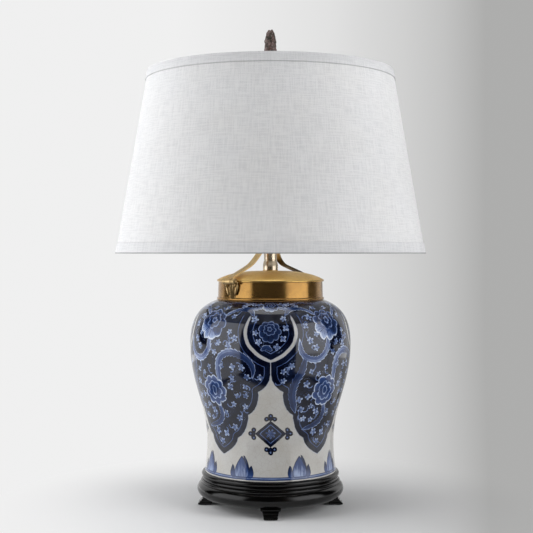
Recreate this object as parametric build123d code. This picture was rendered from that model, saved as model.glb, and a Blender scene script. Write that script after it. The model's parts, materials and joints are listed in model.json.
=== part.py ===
from build123d import *
from math import cos, radians, sin, sqrt
import os

# Porcelain table lamp: a jar on a wooden stand, a brass cap with a strap handle, and a fabric shade.
# Millimetres, +Z up, origin on the table under the axis of the lamp, front of the lamp towards -Y.

# Fits
close_gap = 0.1
loose_gap = 0.3
running_gap = 0.06

# Lamp rod and the nut that draws the whole stack together
rod_radius = 5.0
rod_bore_radius = 3.2
rod_end_length = 2.0
nut_across_flats = 16.0
nut_thickness = 5.0
lock_washer_radius = 9.0
lock_washer_thickness = 1.2
base_washer_radius = 16.0
base_washer_thickness = 1.6

# Jar
jar_foot_radius = 97.3
jar_waist_radius = 93.9
jar_belly_radius = 119.0
jar_ledge_radius = 79.2
jar_neck_radius = 71.0
jar_waist_height = 42.5
jar_belly_height = 187.5
jar_body_height = 252.2
jar_neck_height = 18.0
jar_wall = 7.0
jar_floor_thickness = 9.0
jar_foot_ring_width = 12.0
jar_foot_ring_height = 6.0
jar_hole_radius = 10.0

# Stand
stand_height = 36.5
stand_overhang = 11.1
stand_bead_overhang = 4.6
stand_bead_height = 7.0
stand_reed_height = 4.6
stand_groove_depth = 4.5
stand_reed_step = 2.6
stand_reed_round = 0.6
stand_seat_depth = 0.5
stand_seat_gap = 0.7
stand_recess_radius = 30.0
stand_recess_depth = 14.0
gasket_width = 10.0
gasket_thickness = 1.0

# Feet
foot_count = 4
foot_height = 15.0
foot_width = 25.0
foot_tip_width = 19.5
foot_shoulder_width = 31.0
foot_shoulder_height = 4.5
foot_length = 17.0
foot_toe_overhang = 10.0
foot_toe_height = 9.5

# Cord inlet
bushing_bore_radius = 3.4
bushing_wall = 1.2
bushing_length = 12.0
bushing_flange_radius = 7.0
bushing_flange_thickness = 3.0
bushing_height = 8.0

# Brass cap
collar_height = 27.0
collar_radius = 77.2
collar_flare = 0.7
collar_wall = 1.6
collar_bead = 1.6
collar_bead_height = 4.6
lid_rim_overhang = 2.3
lid_rim_height = 3.0
lid_rise = 12.6
lid_edge_lean = 9.0
lid_wall = 1.6
lid_pad_radius = 14.0
disc_thickness = 2.0

# Neck
neck_base_radius = 11.3
neck_base_height = 15.0
neck_tube_radius = 9.6
neck_tube_height = 22.5
neck_groove = 0.7

# Strap handle and its lugs
handle_angle = -134.0
strap_width = 10.0
strap_thickness = 2.4
strap_ring_radius = 12.0
strap_bend_radius = 4.0
strap_eye_radius = 4.6
front_corner_radius = 11.0
front_drop_slope = 45.0
front_sweep_radius = 60.0
front_run_slope = 23.5
front_tip_rise = 4.2
back_corner_radius = 13.4
back_drop_slope = 90.0
back_sweep_radius = 28.0
back_run_slope = 18.0
back_tip_rise = 4.2
lug_width = 20.0
lug_tip_width = 9.0
lug_thickness = 3.2
lug_ear_width = 4.4
lug_rim_gap = 0.8
pin_radius = 1.7
pin_head_radius = 4.5
pin_head_thickness = 3.0

# Harp
check_ring_radius = 9.0
check_ring_thickness = 2.0
saddle_half_width = 27.0
saddle_flat = 17.0
saddle_thickness = 1.6
saddle_strap_width = 14.0
saddle_rise = 12.0
saddle_post_length = 12.0
harp_wire_radius = 2.0
harp_height = 241.3
harp_half_width = 57.0
harp_straight = 32.0
harp_pad_radius = 9.0
ferrule_wall = 1.5
ferrule_length = 18.0
stud_radius = 3.1
stud_length = 12.0
stud_shank_radius = 2.4
stud_flange_radius = 8.0
stud_flange_thickness = 3.2
stud_rivet_radius = 4.5
stud_rivet_thickness = 1.8

# Socket and switch
socket_radius = 16.8
socket_sheet = 0.9
socket_collar_radius = 8.0
socket_collar_height = 8.0
socket_cap_height = 24.0
socket_cup_height = 7.0
socket_shell_height = 48.0
socket_bead = 1.0
sleeve_wall = 0.5
socket_body_height = 24.0
screw_shell_wall = 0.8
screw_shell_height = 22.0
contact_radius = 4.0
contact_thickness = 1.2
switch_shaft_radius = 1.5
switch_shaft_seat = 5.0
switch_height = 12.0
knob_radius = 4.2
knob_length = 14.0
knob_stand_off = 1.4

# Bulb
bulb_radius = 30.0
bulb_length = 104.0
bulb_glass_wall = 1.0
bulb_cap_length = 22.0
bulb_insulator_height = 3.0
bulb_contact_height = 2.0

# Shade
shade_bottom_radius = 227.8
shade_top_radius = 180.8
shade_height = 266.4
shade_drop = 6.4
shade_cover_thickness = 0.8
shade_lining_thickness = 0.6
shade_wire_radius = 1.6
trim_thickness = 0.7
trim_edge = 0.6
top_trim_height = 13.0
bottom_trim_height = 15.0
hub_radius = 13.0
hub_thickness = 2.8
arm_count = 3
arm_radius = 1.3

# Finial
finial_base_height = 9.0
finial_base_radius = 8.5
finial_height = 60.0
finial_radius = 8.9
finial_tip_radius = 4.2
finial_bore_depth = 6.0

# Levels of the stack, from the table up
z_stand = foot_height
z_stand_top = z_stand + stand_height
z_seat = z_stand_top - stand_seat_depth
z_recess = z_stand + stand_recess_depth
z_jar = z_seat + gasket_thickness
z_ledge = z_jar + jar_body_height
z_mouth = z_ledge + jar_neck_height
z_collar_top = z_ledge + collar_height
z_rim_top = z_collar_top + lid_rim_height
z_lid_top = z_rim_top + lid_rise
z_neck_joint = z_lid_top + neck_base_height
z_neck_top = z_neck_joint + neck_tube_height
z_ring_top = z_neck_top + strap_thickness
z_saddle = z_ring_top + check_ring_thickness
z_socket = z_saddle + saddle_thickness
z_harp_top = z_saddle + harp_height
z_hub = z_harp_top + stud_flange_thickness
z_hub_top = z_hub + hub_thickness
z_shade_top = z_hub + shade_drop
z_shade_bottom = z_shade_top - shade_height
z_finial = z_hub_top + finial_base_height

# Radii that follow from the sizes above
rod_hole_radius = rod_radius + loose_gap
stand_radius = jar_foot_radius + stand_overhang
stand_round = (stand_height - stand_bead_height - 2 * stand_reed_height) / 2
stand_flat_radius = stand_radius - stand_round
lid_rim_radius = collar_radius + lid_rim_overhang
eye_radius_out = lid_rim_radius + lug_rim_gap + strap_eye_radius
z_eye = z_rim_top - lid_rim_height / 2
z_post_foot = z_saddle + saddle_rise
z_leg = z_post_foot + saddle_post_length
ferrule_bore_radius = harp_wire_radius + loose_gap
shell_radius = socket_radius - socket_sheet - close_gap
shell_bore_radius = shell_radius - socket_sheet
body_radius = shell_bore_radius - sleeve_wall - 2 * close_gap
screw_bore_radius = body_radius - screw_shell_wall
z_cup = z_socket + socket_cap_height - socket_cup_height
z_body_top = z_cup + socket_body_height
z_knob = z_cup + switch_height
z_bulb = z_body_top + contact_thickness + loose_gap
z_bulb_cap = z_bulb + bulb_contact_height + bulb_insulator_height
z_glass = z_bulb_cap + bulb_cap_length
bulb_cap_radius = screw_bore_radius - loose_gap
z_bulb_top = z_bulb + bulb_length
shade_slope = (shade_bottom_radius - shade_top_radius) / shade_height
shade_slant = sqrt(1 + shade_slope**2)


def turned(*curves):
    return revolve(Plane.XZ * make_face(curves), Axis.Z)


def turned_points(*points):
    return turned(Polyline(*points, close=True))


def tube(inner, outer, bottom, top):
    return turned_points((inner, bottom), (outer, bottom), (outer, top), (inner, top))


def rod_along(start, end, radius):
    line = Line(start, end)
    return sweep(Plane(line @ 0, z_dir=line % 0) * Circle(radius), path=line)


def stand():
    bead_radius = jar_foot_radius + stand_bead_overhang
    lip = (jar_foot_radius + stand_seat_gap, z_stand_top)
    groove = (bead_radius - stand_groove_depth, z_stand_top - stand_bead_height)
    step = (groove[0] + stand_reed_step, groove[1] - stand_reed_height)
    shoulder = (step[0] + stand_reed_step, step[1] - stand_reed_height)
    inner = Polyline(
        (stand_flat_radius, z_stand),
        (stand_recess_radius, z_stand),
        (stand_recess_radius, z_recess),
        (rod_hole_radius, z_recess),
        (rod_hole_radius, z_seat),
        (lip[0], z_seat),
        lip,
    )
    body = turned(
        inner,
        ThreePointArc(lip, (bead_radius, (lip[1] + groove[1]) / 2), groove),
        ThreePointArc(groove, (step[0] + stand_reed_round, (groove[1] + step[1]) / 2), step),
        ThreePointArc(step, (shoulder[0] + stand_reed_round, (step[1] + shoulder[1]) / 2), shoulder),
        ThreePointArc(shoulder, (stand_radius, z_stand + stand_round), (stand_flat_radius, z_stand)),
    )
    z_cord = z_stand + bushing_height
    reach = stand_radius - bushing_flange_thickness - bushing_length
    bore = rod_along((0, 0, z_cord), (0, stand_radius, z_cord), bushing_bore_radius)
    sleeve_hole = bushing_bore_radius + bushing_wall + close_gap
    bore += rod_along((0, reach, z_cord), (0, stand_radius + 1, z_cord), sleeve_hole)
    face = bushing_face()
    flange_hole = bushing_flange_radius + close_gap
    bore += rod_along((0, face, z_cord), (0, stand_radius + 1, z_cord), flange_hole)
    return body - bore


def bushing_face():
    return stand_radius - bushing_flange_thickness - 2.0


def cord_bushing():
    z_cord = z_stand + bushing_height
    face = bushing_face()
    end = face - bushing_length + bushing_flange_thickness
    body = rod_along((0, end, z_cord), (0, face, z_cord), bushing_bore_radius + bushing_wall)
    outside = face + bushing_flange_thickness
    body += rod_along((0, face, z_cord), (0, outside, z_cord), bushing_flange_radius)
    return body - rod_along((0, end - 1, z_cord), (0, outside + 1, z_cord), bushing_bore_radius)


def foot(angle):
    back = stand_flat_radius - foot_length
    heel = back + 5
    toe = stand_flat_radius + foot_toe_overhang
    outline = make_face(
        [
            Line((back, foot_height), (stand_flat_radius, foot_height)),
            Bezier(
                (stand_flat_radius, foot_height),
                (stand_flat_radius - 1, foot_toe_height + 1),
                (toe - 5, foot_toe_height),
                (toe - 2, foot_toe_height - 1.5),
            ),
            ThreePointArc((toe - 2, foot_toe_height - 1.5), (toe, foot_toe_height / 2), (toe - 3, 0)),
            Line((toe - 3, 0), (heel, 0)),
            Bezier((heel, 0), (heel, foot_height / 2), (back, foot_height / 2), (back, foot_height)),
        ]
    )
    front = make_face(
        Polyline(
            (-foot_width / 2, foot_height),
            (-foot_tip_width / 2, 0),
            (foot_tip_width / 2, 0),
            (foot_width / 2, foot_height),
            close=True,
        )
    )
    body = extrude(Plane.XZ * outline, foot_width / 2, both=True) & extrude(Plane.YZ * front, toe + 1)
    step = make_face(
        Polyline(
            (back, foot_height - foot_shoulder_height),
            (stand_flat_radius - 2, foot_height - foot_shoulder_height),
            (stand_flat_radius, foot_height),
            (back, foot_height),
            close=True,
        )
    )
    return Rot(0, 0, angle) * (body + extrude(Plane.XZ * step, foot_shoulder_width / 2, both=True))


def base_washer():
    return tube(rod_hole_radius, base_washer_radius, z_recess - base_washer_thickness, z_recess)


def lock_washer():
    top = z_recess - base_washer_thickness
    return tube(rod_hole_radius, lock_washer_radius, top - lock_washer_thickness, top)


def rod_nut():
    bottom = z_recess - base_washer_thickness - lock_washer_thickness - nut_thickness
    hexagon = RegularPolygon(nut_across_flats / 2, 6, major_radius=False) - Circle(rod_radius + close_gap)
    return Pos(0, 0, bottom) * extrude(hexagon, nut_thickness)


def lamp_rod():
    bottom = z_recess - base_washer_thickness - lock_washer_thickness - nut_thickness - rod_end_length
    return tube(rod_bore_radius, rod_radius, bottom, z_socket + socket_collar_height - 1)


def jar_gasket():
    outer = jar_foot_radius - 1
    return tube(outer - gasket_width, outer, z_seat, z_jar)


def jar_side(inset, bottom, top):
    z_waist = z_jar + jar_waist_height
    z_belly = z_jar + jar_belly_height
    shoulder = top - z_belly
    waist = jar_waist_radius - inset
    belly = jar_belly_radius - inset
    rise = z_belly - z_waist
    foot_radius = bottom[0]
    end = jar_ledge_radius - inset
    return [
        Bezier(bottom, (foot_radius - 1.3, bottom[1] + 9), (waist, z_waist - 16), (waist, z_waist)),
        Bezier(
            (waist, z_waist),
            (waist, z_waist + 0.38 * rise),
            (belly, z_belly - 0.41 * rise),
            (belly, z_belly),
        ),
        Bezier(
            (belly, z_belly),
            (belly, z_belly + 0.59 * shoulder),
            (end + 26, top - 0.14 * shoulder),
            (end, top),
        ),
    ]


def jar():
    floor = z_jar + jar_foot_ring_height + jar_floor_thickness
    ring = jar_foot_radius - jar_foot_ring_width
    mouth = jar_neck_radius - jar_wall
    outer = jar_side(0, (jar_foot_radius, z_jar), z_ledge)
    inner = jar_side(jar_wall, (jar_foot_radius - jar_wall - 2, floor), z_ledge - jar_wall)
    neck = Polyline(
        (jar_ledge_radius, z_ledge),
        (jar_neck_radius, z_ledge),
        (jar_neck_radius, z_mouth),
        (mouth, z_mouth),
        (mouth, z_ledge - jar_wall),
        (jar_ledge_radius - jar_wall, z_ledge - jar_wall),
    )
    base = Polyline(
        (jar_foot_radius - jar_wall - 2, floor),
        (jar_hole_radius, floor),
        (jar_hole_radius, z_jar + jar_foot_ring_height),
        (ring, z_jar + jar_foot_ring_height),
        (ring, z_jar),
        (jar_foot_radius, z_jar),
    )
    return turned(*outer, neck, *inner, base)


def cap_disc():
    return tube(rod_hole_radius, jar_neck_radius + 2, z_mouth, z_mouth + disc_thickness)


def cap_collar():
    low = collar_radius + collar_flare
    inner = collar_radius - collar_wall
    bead_top = z_ledge + collar_bead_height
    return turned(
        Polyline(
            (low, bead_top),
            (collar_radius, z_collar_top),
            (inner, z_collar_top),
            (inner, z_ledge),
            (low, z_ledge),
        ),
        ThreePointArc((low, z_ledge), (low + collar_bead, (z_ledge + bead_top) / 2), (low, bead_top)),
    )


def lid_curve(radius, bottom, top):
    width = radius - lid_pad_radius
    height = top - bottom
    return Bezier(
        (radius, bottom),
        (radius - lid_edge_lean, bottom + 0.45 * height),
        (lid_pad_radius + 0.56 * width, top),
        (lid_pad_radius, top),
    )


def cap_lid():
    rim = lid_rim_radius - 0.8
    inner = collar_radius - collar_wall - 1.2
    return turned(
        Line((inner, z_collar_top), (rim, z_collar_top)),
        ThreePointArc(
            (rim, z_collar_top), (lid_rim_radius, z_collar_top + lid_rim_height / 2), (rim, z_rim_top)
        ),
        Line((rim, z_rim_top), (rim - 0.6, z_rim_top)),
        lid_curve(rim - 0.6, z_rim_top, z_lid_top),
        Polyline(
            (lid_pad_radius, z_lid_top),
            (rod_hole_radius, z_lid_top),
            (rod_hole_radius, z_lid_top - lid_wall),
            (lid_pad_radius, z_lid_top - lid_wall),
        ),
        lid_curve(inner, z_rim_top - lid_wall, z_lid_top - lid_wall),
        Line((inner, z_rim_top - lid_wall), (inner, z_collar_top)),
    )


def lug(angle):
    skin = collar_radius + collar_flare + close_gap
    low = z_ledge + collar_bead_height + 0.4
    high = z_collar_top - 0.4
    tip = lug_tip_width / 2
    half = lug_width / 2
    leaf = make_face(
        [
            Line((-tip, low), (tip, low)),
            Bezier((tip, low), (tip, low + 9), (half, low + 8), (half, high)),
            Line((half, high), (-half, high)),
            Bezier((-half, high), (-half, low + 8), (-tip, low + 9), (-tip, low)),
        ]
    )
    plate = extrude(Plane.YZ * leaf, skin + lug_thickness) & tube(skin, skin + lug_thickness, low, high)
    ear = make_face(
        Polyline(
            (skin + 1, high - 12),
            (skin + lug_thickness, high - 12),
            (eye_radius_out + strap_eye_radius - 0.6, z_eye),
            (eye_radius_out - strap_eye_radius, z_eye),
            (eye_radius_out - strap_eye_radius, high),
            (skin + 1, high),
            close=True,
        )
    )
    ear += Pos(eye_radius_out, z_eye) * Circle(strap_eye_radius)
    inner_face = strap_width / 2 + loose_gap
    for side in (-1, 1):
        middle = side * (inner_face + lug_ear_width / 2)
        plate += Pos(0, middle, 0) * extrude(Plane.XZ * ear, lug_ear_width / 2, both=True)
    reach = inner_face + lug_ear_width + 1
    hole = rod_along((eye_radius_out, -reach, z_eye), (eye_radius_out, reach, z_eye), pin_radius + close_gap)
    eye_room = strap_eye_radius + loose_gap
    hole += rod_along((eye_radius_out, -inner_face, z_eye), (eye_radius_out, inner_face, z_eye), eye_room)
    return Rot(0, 0, angle) * (plate - hole)


def lug_pin(angle):
    outer = strap_width / 2 + loose_gap + lug_ear_width
    body = rod_along((eye_radius_out, -outer, z_eye), (eye_radius_out, outer, z_eye), pin_radius)
    head = rod_along(
        (eye_radius_out, outer, z_eye), (eye_radius_out, outer + pin_head_thickness, z_eye), pin_head_radius
    )
    body += fillet(head.edges().group_by(Axis.Y)[-1], pin_head_thickness * 0.6)
    return Rot(0, 0, angle) * body


def strap_arm(corner_radius, drop_slope, sweep_radius, run_slope, tip_rise):
    corner = Vector(corner_radius, 0, z_neck_top + strap_thickness / 2)
    tip = Vector(eye_radius_out, 0, z_eye + tip_rise)
    drop = Vector(cos(radians(drop_slope)), 0, -sin(radians(drop_slope)))
    run = Vector(cos(radians(run_slope)), 0, -sin(radians(run_slope)))
    length = (tip - corner).cross(run).Y / drop.cross(run).Y
    knee = corner + drop * length
    start = corner - Vector(strap_bend_radius + 1.5, 0, 0)
    path = FilletPolyline(start, corner, knee, tip, radius=[strap_bend_radius, sweep_radius])
    section = Plane(path @ 0, x_dir=(0, 1, 0), z_dir=path % 0) * Rectangle(strap_width, strap_thickness)
    arm = sweep(section, path=path)
    half = strap_width / 2
    arm += rod_along((eye_radius_out, -half, z_eye), (eye_radius_out, half, z_eye), strap_eye_radius)
    hole = pin_radius + close_gap
    return arm - rod_along((eye_radius_out, -half - 1, z_eye), (eye_radius_out, half + 1, z_eye), hole)


def strap_handle():
    ring = Pos(0, 0, z_neck_top) * extrude(Circle(strap_ring_radius), strap_thickness)
    front = strap_arm(
        front_corner_radius, front_drop_slope, front_sweep_radius, front_run_slope, front_tip_rise
    )
    back = strap_arm(back_corner_radius, back_drop_slope, back_sweep_radius, back_run_slope, back_tip_rise)
    body = ring + front + Rot(0, 0, 180) * back
    body -= tube(0, rod_hole_radius, z_neck_top - 1, z_ring_top + 1)
    return Rot(0, 0, handle_angle) * body


def neck_base():
    waist = neck_tube_radius + 0.4
    z_low = z_lid_top + 0.35 * neck_base_height
    return turned(
        Polyline(
            (waist, z_neck_joint),
            (rod_hole_radius, z_neck_joint),
            (rod_hole_radius, z_lid_top),
            (neck_base_radius - 0.5, z_lid_top),
            (neck_base_radius, z_lid_top + 0.8),
            (neck_base_radius, z_low),
        ),
        Bezier(
            (neck_base_radius, z_low),
            (neck_base_radius, z_neck_joint - 4),
            (waist, z_neck_joint - 3),
            (waist, z_neck_joint),
        ),
    )


def neck_tube():
    low = z_neck_joint + 2 * neck_groove
    return turned_points(
        (rod_hole_radius, z_neck_joint),
        (neck_tube_radius - neck_groove, z_neck_joint),
        (neck_tube_radius - neck_groove, z_neck_joint + neck_groove),
        (neck_tube_radius, low),
        (neck_tube_radius, z_neck_top),
        (rod_hole_radius, z_neck_top),
    )


def check_ring():
    return tube(rod_hole_radius, check_ring_radius, z_ring_top, z_saddle)


def harp_saddle():
    end = saddle_half_width + harp_wire_radius
    inner = saddle_half_width - harp_wire_radius
    knee = z_post_foot - 4.0
    strap = make_face(
        Polyline(
            (-end, z_post_foot),
            (-end, knee),
            (-saddle_flat, z_saddle),
            (saddle_flat, z_saddle),
            (end, knee),
            (end, z_post_foot),
            (inner, z_post_foot),
            (inner, knee),
            (saddle_flat - 1, z_saddle + saddle_thickness),
            (1 - saddle_flat, z_saddle + saddle_thickness),
            (-inner, knee),
            (-inner, z_post_foot),
            close=True,
        )
    )
    body = extrude(Plane.XZ * strap, saddle_strap_width / 2, both=True)
    body -= tube(0, rod_hole_radius, z_saddle - 1, z_socket + 1)
    for side in (-1, 1):
        body += Pos(side * saddle_half_width, 0, 0) * tube(0, harp_wire_radius, z_post_foot - 1, z_leg)
    return body


def harp_bow():
    z_wire = z_harp_top - harp_wire_radius
    z_out = z_leg + harp_straight
    half = [
        (saddle_half_width, 0, z_leg),
        (saddle_half_width, 0, z_out),
        (harp_half_width, 0, z_out + 49),
        (harp_half_width, 0, z_wire - 43),
        (harp_half_width / 2, 0, z_wire),
    ]
    other = [(-x, y, z) for x, y, z in reversed(half)]
    path = FilletPolyline(*half, *other, radius=[34, 60, 60, 40, 40, 60, 60, 34])
    section = Plane(path @ 0, z_dir=path % 0) * Circle(harp_wire_radius)
    body = sweep(section, path=path)
    body += tube(0, harp_pad_radius, z_harp_top - 2 * harp_wire_radius, z_harp_top)
    hole = stud_shank_radius + running_gap
    return body - tube(0, hole, z_harp_top - 3 * harp_wire_radius, z_harp_top + 1)


def ferrule(side):
    outer = ferrule_bore_radius + ferrule_wall
    sleeve = tube(ferrule_bore_radius, outer, z_post_foot, z_post_foot + ferrule_length)
    return Pos(side * saddle_half_width, 0, 0) * sleeve


def harp_stud():
    z_pad = z_harp_top - 2 * harp_wire_radius - running_gap
    return turned_points(
        (0, z_pad - stud_rivet_thickness),
        (stud_rivet_radius, z_pad - stud_rivet_thickness),
        (stud_rivet_radius, z_pad),
        (stud_shank_radius, z_pad),
        (stud_shank_radius, z_harp_top),
        (stud_flange_radius, z_harp_top),
        (stud_flange_radius, z_hub),
        (stud_radius, z_hub),
        (stud_radius, z_hub_top + stud_length - 1),
        (stud_radius - 1, z_hub_top + stud_length),
        (0, z_hub_top + stud_length),
    )


def socket_cap():
    inner = socket_radius - socket_sheet
    z_top = z_socket + socket_cap_height
    floor = z_socket + socket_collar_height
    return turned_points(
        (rod_radius + close_gap, z_socket),
        (socket_collar_radius, z_socket),
        (socket_collar_radius, floor),
        (socket_radius, z_cup),
        (socket_radius, z_top),
        (inner, z_top),
        (inner, z_cup),
        (shell_bore_radius, z_cup),
        (socket_collar_radius - 1, floor + socket_sheet),
        (rod_radius + close_gap, floor + socket_sheet),
    )


def side_bore(radius, near, far):
    return rod_along((0, -near, z_knob), (0, -far, z_knob), radius)


def socket_shell():
    top = z_cup + socket_shell_height
    body = turned_points(
        (shell_bore_radius, z_cup),
        (shell_radius, z_cup),
        (shell_radius, top - 2.4),
        (shell_radius + socket_bead, top - 1.6),
        (shell_radius + socket_bead, top),
        (shell_bore_radius, top),
    )
    return body - side_bore(switch_shaft_radius + loose_gap, shell_bore_radius - 2, socket_radius + 2)


def socket_sleeve():
    outer = shell_bore_radius - close_gap
    body = tube(outer - sleeve_wall, outer, z_cup, z_cup + socket_shell_height - 1)
    return body - side_bore(switch_shaft_radius + loose_gap, body_radius - 2, socket_radius + 2)


def socket_interior():
    body = tube(0, body_radius, z_cup, z_body_top)
    return body - side_bore(switch_shaft_radius + running_gap, switch_shaft_seat, socket_radius + 2)


def socket_screw_shell():
    top = z_body_top + screw_shell_height
    return turned_points(
        (contact_radius + 3, z_body_top),
        (body_radius, z_body_top),
        (body_radius, top),
        (screw_bore_radius, top),
        (screw_bore_radius, z_body_top + screw_shell_wall),
        (contact_radius + 3, z_body_top + screw_shell_wall),
    )


def socket_contact():
    return tube(0, contact_radius, z_body_top, z_body_top + contact_thickness)


def switch_shaft():
    end = socket_radius + knob_stand_off + knob_length - 3
    return side_bore(switch_shaft_radius, switch_shaft_seat + loose_gap, end)


def switch_knob():
    near = socket_radius + knob_stand_off
    far = near + knob_length
    body = side_bore(knob_radius, near, far)
    body = fillet(body.edges().group_by(Axis.Y)[0], 1.0)
    return body - side_bore(switch_shaft_radius + close_gap / 2, near - 1, far - 3)


def bulb_contact():
    return tube(0, contact_radius - 0.6, z_bulb, z_bulb + bulb_contact_height)


def bulb_insulator():
    bottom = z_bulb + bulb_contact_height
    return turned_points(
        (0, bottom),
        (contact_radius, bottom),
        (bulb_cap_radius - 1, z_bulb_cap),
        (0, z_bulb_cap),
    )


def bulb_cap():
    wall = 0.6
    return turned_points(
        (0, z_bulb_cap),
        (bulb_cap_radius - 1, z_bulb_cap),
        (bulb_cap_radius, z_bulb_cap + 2),
        (bulb_cap_radius, z_glass),
        (bulb_cap_radius - wall, z_glass),
        (bulb_cap_radius - wall, z_bulb_cap + 2.4),
        (0, z_bulb_cap + 2.4),
    )


def bulb_side(inset):
    neck = bulb_cap_radius - inset
    wide = bulb_radius - inset
    top = z_bulb_top - inset
    z_wide = z_bulb_top - bulb_radius
    return [
        Bezier((neck, z_glass), (neck, (z_glass + z_wide) / 2), (wide, z_wide - 16), (wide, z_wide)),
        Bezier((wide, z_wide), (wide, z_wide + 0.552 * wide), (0.552 * wide, top), (0, top)),
    ]


def bulb_glass():
    inset = bulb_glass_wall
    ends = [
        Line((0, z_bulb_top), (0, z_bulb_top - inset)),
        Line((bulb_cap_radius - inset, z_glass), (bulb_cap_radius, z_glass)),
    ]
    return turned(*bulb_side(0), *bulb_side(inset), *ends)


def shade_radius(z):
    return shade_bottom_radius - shade_slope * (z - z_shade_bottom)


def cone_sheet(offset, thickness, bottom, top):
    outer = offset * shade_slant
    inner = (offset - thickness) * shade_slant
    return turned_points(
        (shade_radius(bottom) + inner, bottom),
        (shade_radius(bottom) + outer, bottom),
        (shade_radius(top) + outer, top),
        (shade_radius(top) + inner, top),
    )


def shade_cover():
    return cone_sheet(0, shade_cover_thickness, z_shade_bottom, z_shade_top)


def shade_lining():
    offset = -shade_cover_thickness - close_gap / 2
    return cone_sheet(offset, shade_lining_thickness, z_shade_bottom, z_shade_top)


def top_trim():
    start = z_shade_top - top_trim_height
    return cone_sheet(trim_thickness + close_gap / 2, trim_thickness, start, z_shade_top + trim_edge)


def bottom_trim():
    end = z_shade_bottom + bottom_trim_height
    return cone_sheet(trim_thickness + close_gap / 2, trim_thickness, z_shade_bottom - trim_edge, end)


def shade_wire(z):
    depth = shade_cover_thickness + shade_lining_thickness + shade_wire_radius + close_gap
    section = Pos(shade_radius(z) - depth * shade_slant, z) * Circle(shade_wire_radius)
    return revolve(Plane.XZ * section, Axis.Z)


def shade_top_ring():
    return shade_wire(z_shade_top - shade_wire_radius)


def shade_bottom_ring():
    return shade_wire(z_shade_bottom + shade_wire_radius)


def spider_hub():
    return tube(stud_radius + loose_gap, hub_radius, z_hub, z_hub_top)


def spider_arms():
    z_ring = z_shade_top - shade_wire_radius
    depth = shade_cover_thickness + shade_lining_thickness + 2 * shade_wire_radius + 2 * close_gap
    reach = shade_radius(z_ring) - depth * shade_slant
    start = (hub_radius + close_gap, 0, (z_hub + z_hub_top) / 2)
    arm = rod_along(start, (reach, 0, z_ring), arm_radius)
    return Compound([Rot(0, 0, 90 + 360 / arm_count * i) * arm for i in range(arm_count)])


def finial_base():
    z_low = z_hub_top
    bore = stud_radius + loose_gap
    return turned_points(
        (bore, z_low),
        (finial_base_radius, z_low),
        (finial_base_radius, z_low + 0.25 * finial_base_height),
        (finial_base_radius - 3, z_low + 0.5 * finial_base_height),
        (finial_base_radius - 3, z_low + 0.75 * finial_base_height),
        (finial_base_radius - 1, z_finial),
        (bore, z_finial),
    )


def finial():
    top = z_finial + finial_height
    bore = stud_radius + loose_gap
    z_wide = z_finial + 0.45 * finial_height
    z_tip = top - finial_tip_radius
    start = finial_base_radius - 2
    z_bore = z_finial + finial_bore_depth
    return turned(
        Polyline((0, top), (0, z_bore), (bore, z_bore), (bore, z_finial), (start, z_finial)),
        Bezier(
            (start, z_finial),
            (finial_radius, z_finial + 6),
            (finial_radius, z_wide - 10),
            (finial_radius, z_wide),
        ),
        Bezier(
            (finial_radius, z_wide),
            (finial_radius, z_wide + 0.45 * (z_tip - z_wide)),
            (finial_tip_radius + 1.2, z_tip - 7),
            (finial_tip_radius, z_tip),
        ),
        Bezier(
            (finial_tip_radius, z_tip),
            (finial_tip_radius - 0.6, top - 1.2),
            (finial_tip_radius / 2, top),
            (0, top),
        ),
    )


nodes = {
    "stand": stand(),
    "cord_bushing": cord_bushing(),
    "base_washer": base_washer(),
    "lock_washer": lock_washer(),
    "rod_nut": rod_nut(),
    "lamp_rod": lamp_rod(),
    "jar_gasket": jar_gasket(),
    "jar": jar(),
    "cap_disc": cap_disc(),
    "cap_collar": cap_collar(),
    "cap_lid": cap_lid(),
    "lug_front": lug(handle_angle),
    "lug_back": lug(handle_angle + 180),
    "lug_pin_front": lug_pin(handle_angle),
    "lug_pin_back": lug_pin(handle_angle + 180),
    "strap_handle": strap_handle(),
    "neck_base": neck_base(),
    "neck_tube": neck_tube(),
    "check_ring": check_ring(),
    "harp_saddle": harp_saddle(),
    "harp_bow": harp_bow(),
    "ferrule_left": ferrule(-1),
    "ferrule_right": ferrule(1),
    "harp_stud": harp_stud(),
    "socket_cap": socket_cap(),
    "socket_shell": socket_shell(),
    "socket_sleeve": socket_sleeve(),
    "socket_interior": socket_interior(),
    "socket_screw_shell": socket_screw_shell(),
    "socket_contact": socket_contact(),
    "switch_shaft": switch_shaft(),
    "switch_knob": switch_knob(),
    "bulb_contact": bulb_contact(),
    "bulb_insulator": bulb_insulator(),
    "bulb_cap": bulb_cap(),
    "bulb_glass": bulb_glass(),
    "shade_cover": shade_cover(),
    "shade_lining": shade_lining(),
    "top_trim": top_trim(),
    "bottom_trim": bottom_trim(),
    "shade_top_ring": shade_top_ring(),
    "shade_bottom_ring": shade_bottom_ring(),
    "spider_hub": spider_hub(),
    "spider_arms": spider_arms(),
    "finial_base": finial_base(),
    "finial": finial(),
}
for index in range(foot_count):
    nodes[f"foot_{index + 1}"] = foot(360 / foot_count * index - 90)

os.makedirs("parts", exist_ok=True)
for name, shape in nodes.items():
    export_step(shape, f"parts/{name}.step")
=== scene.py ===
import json
import math

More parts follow.
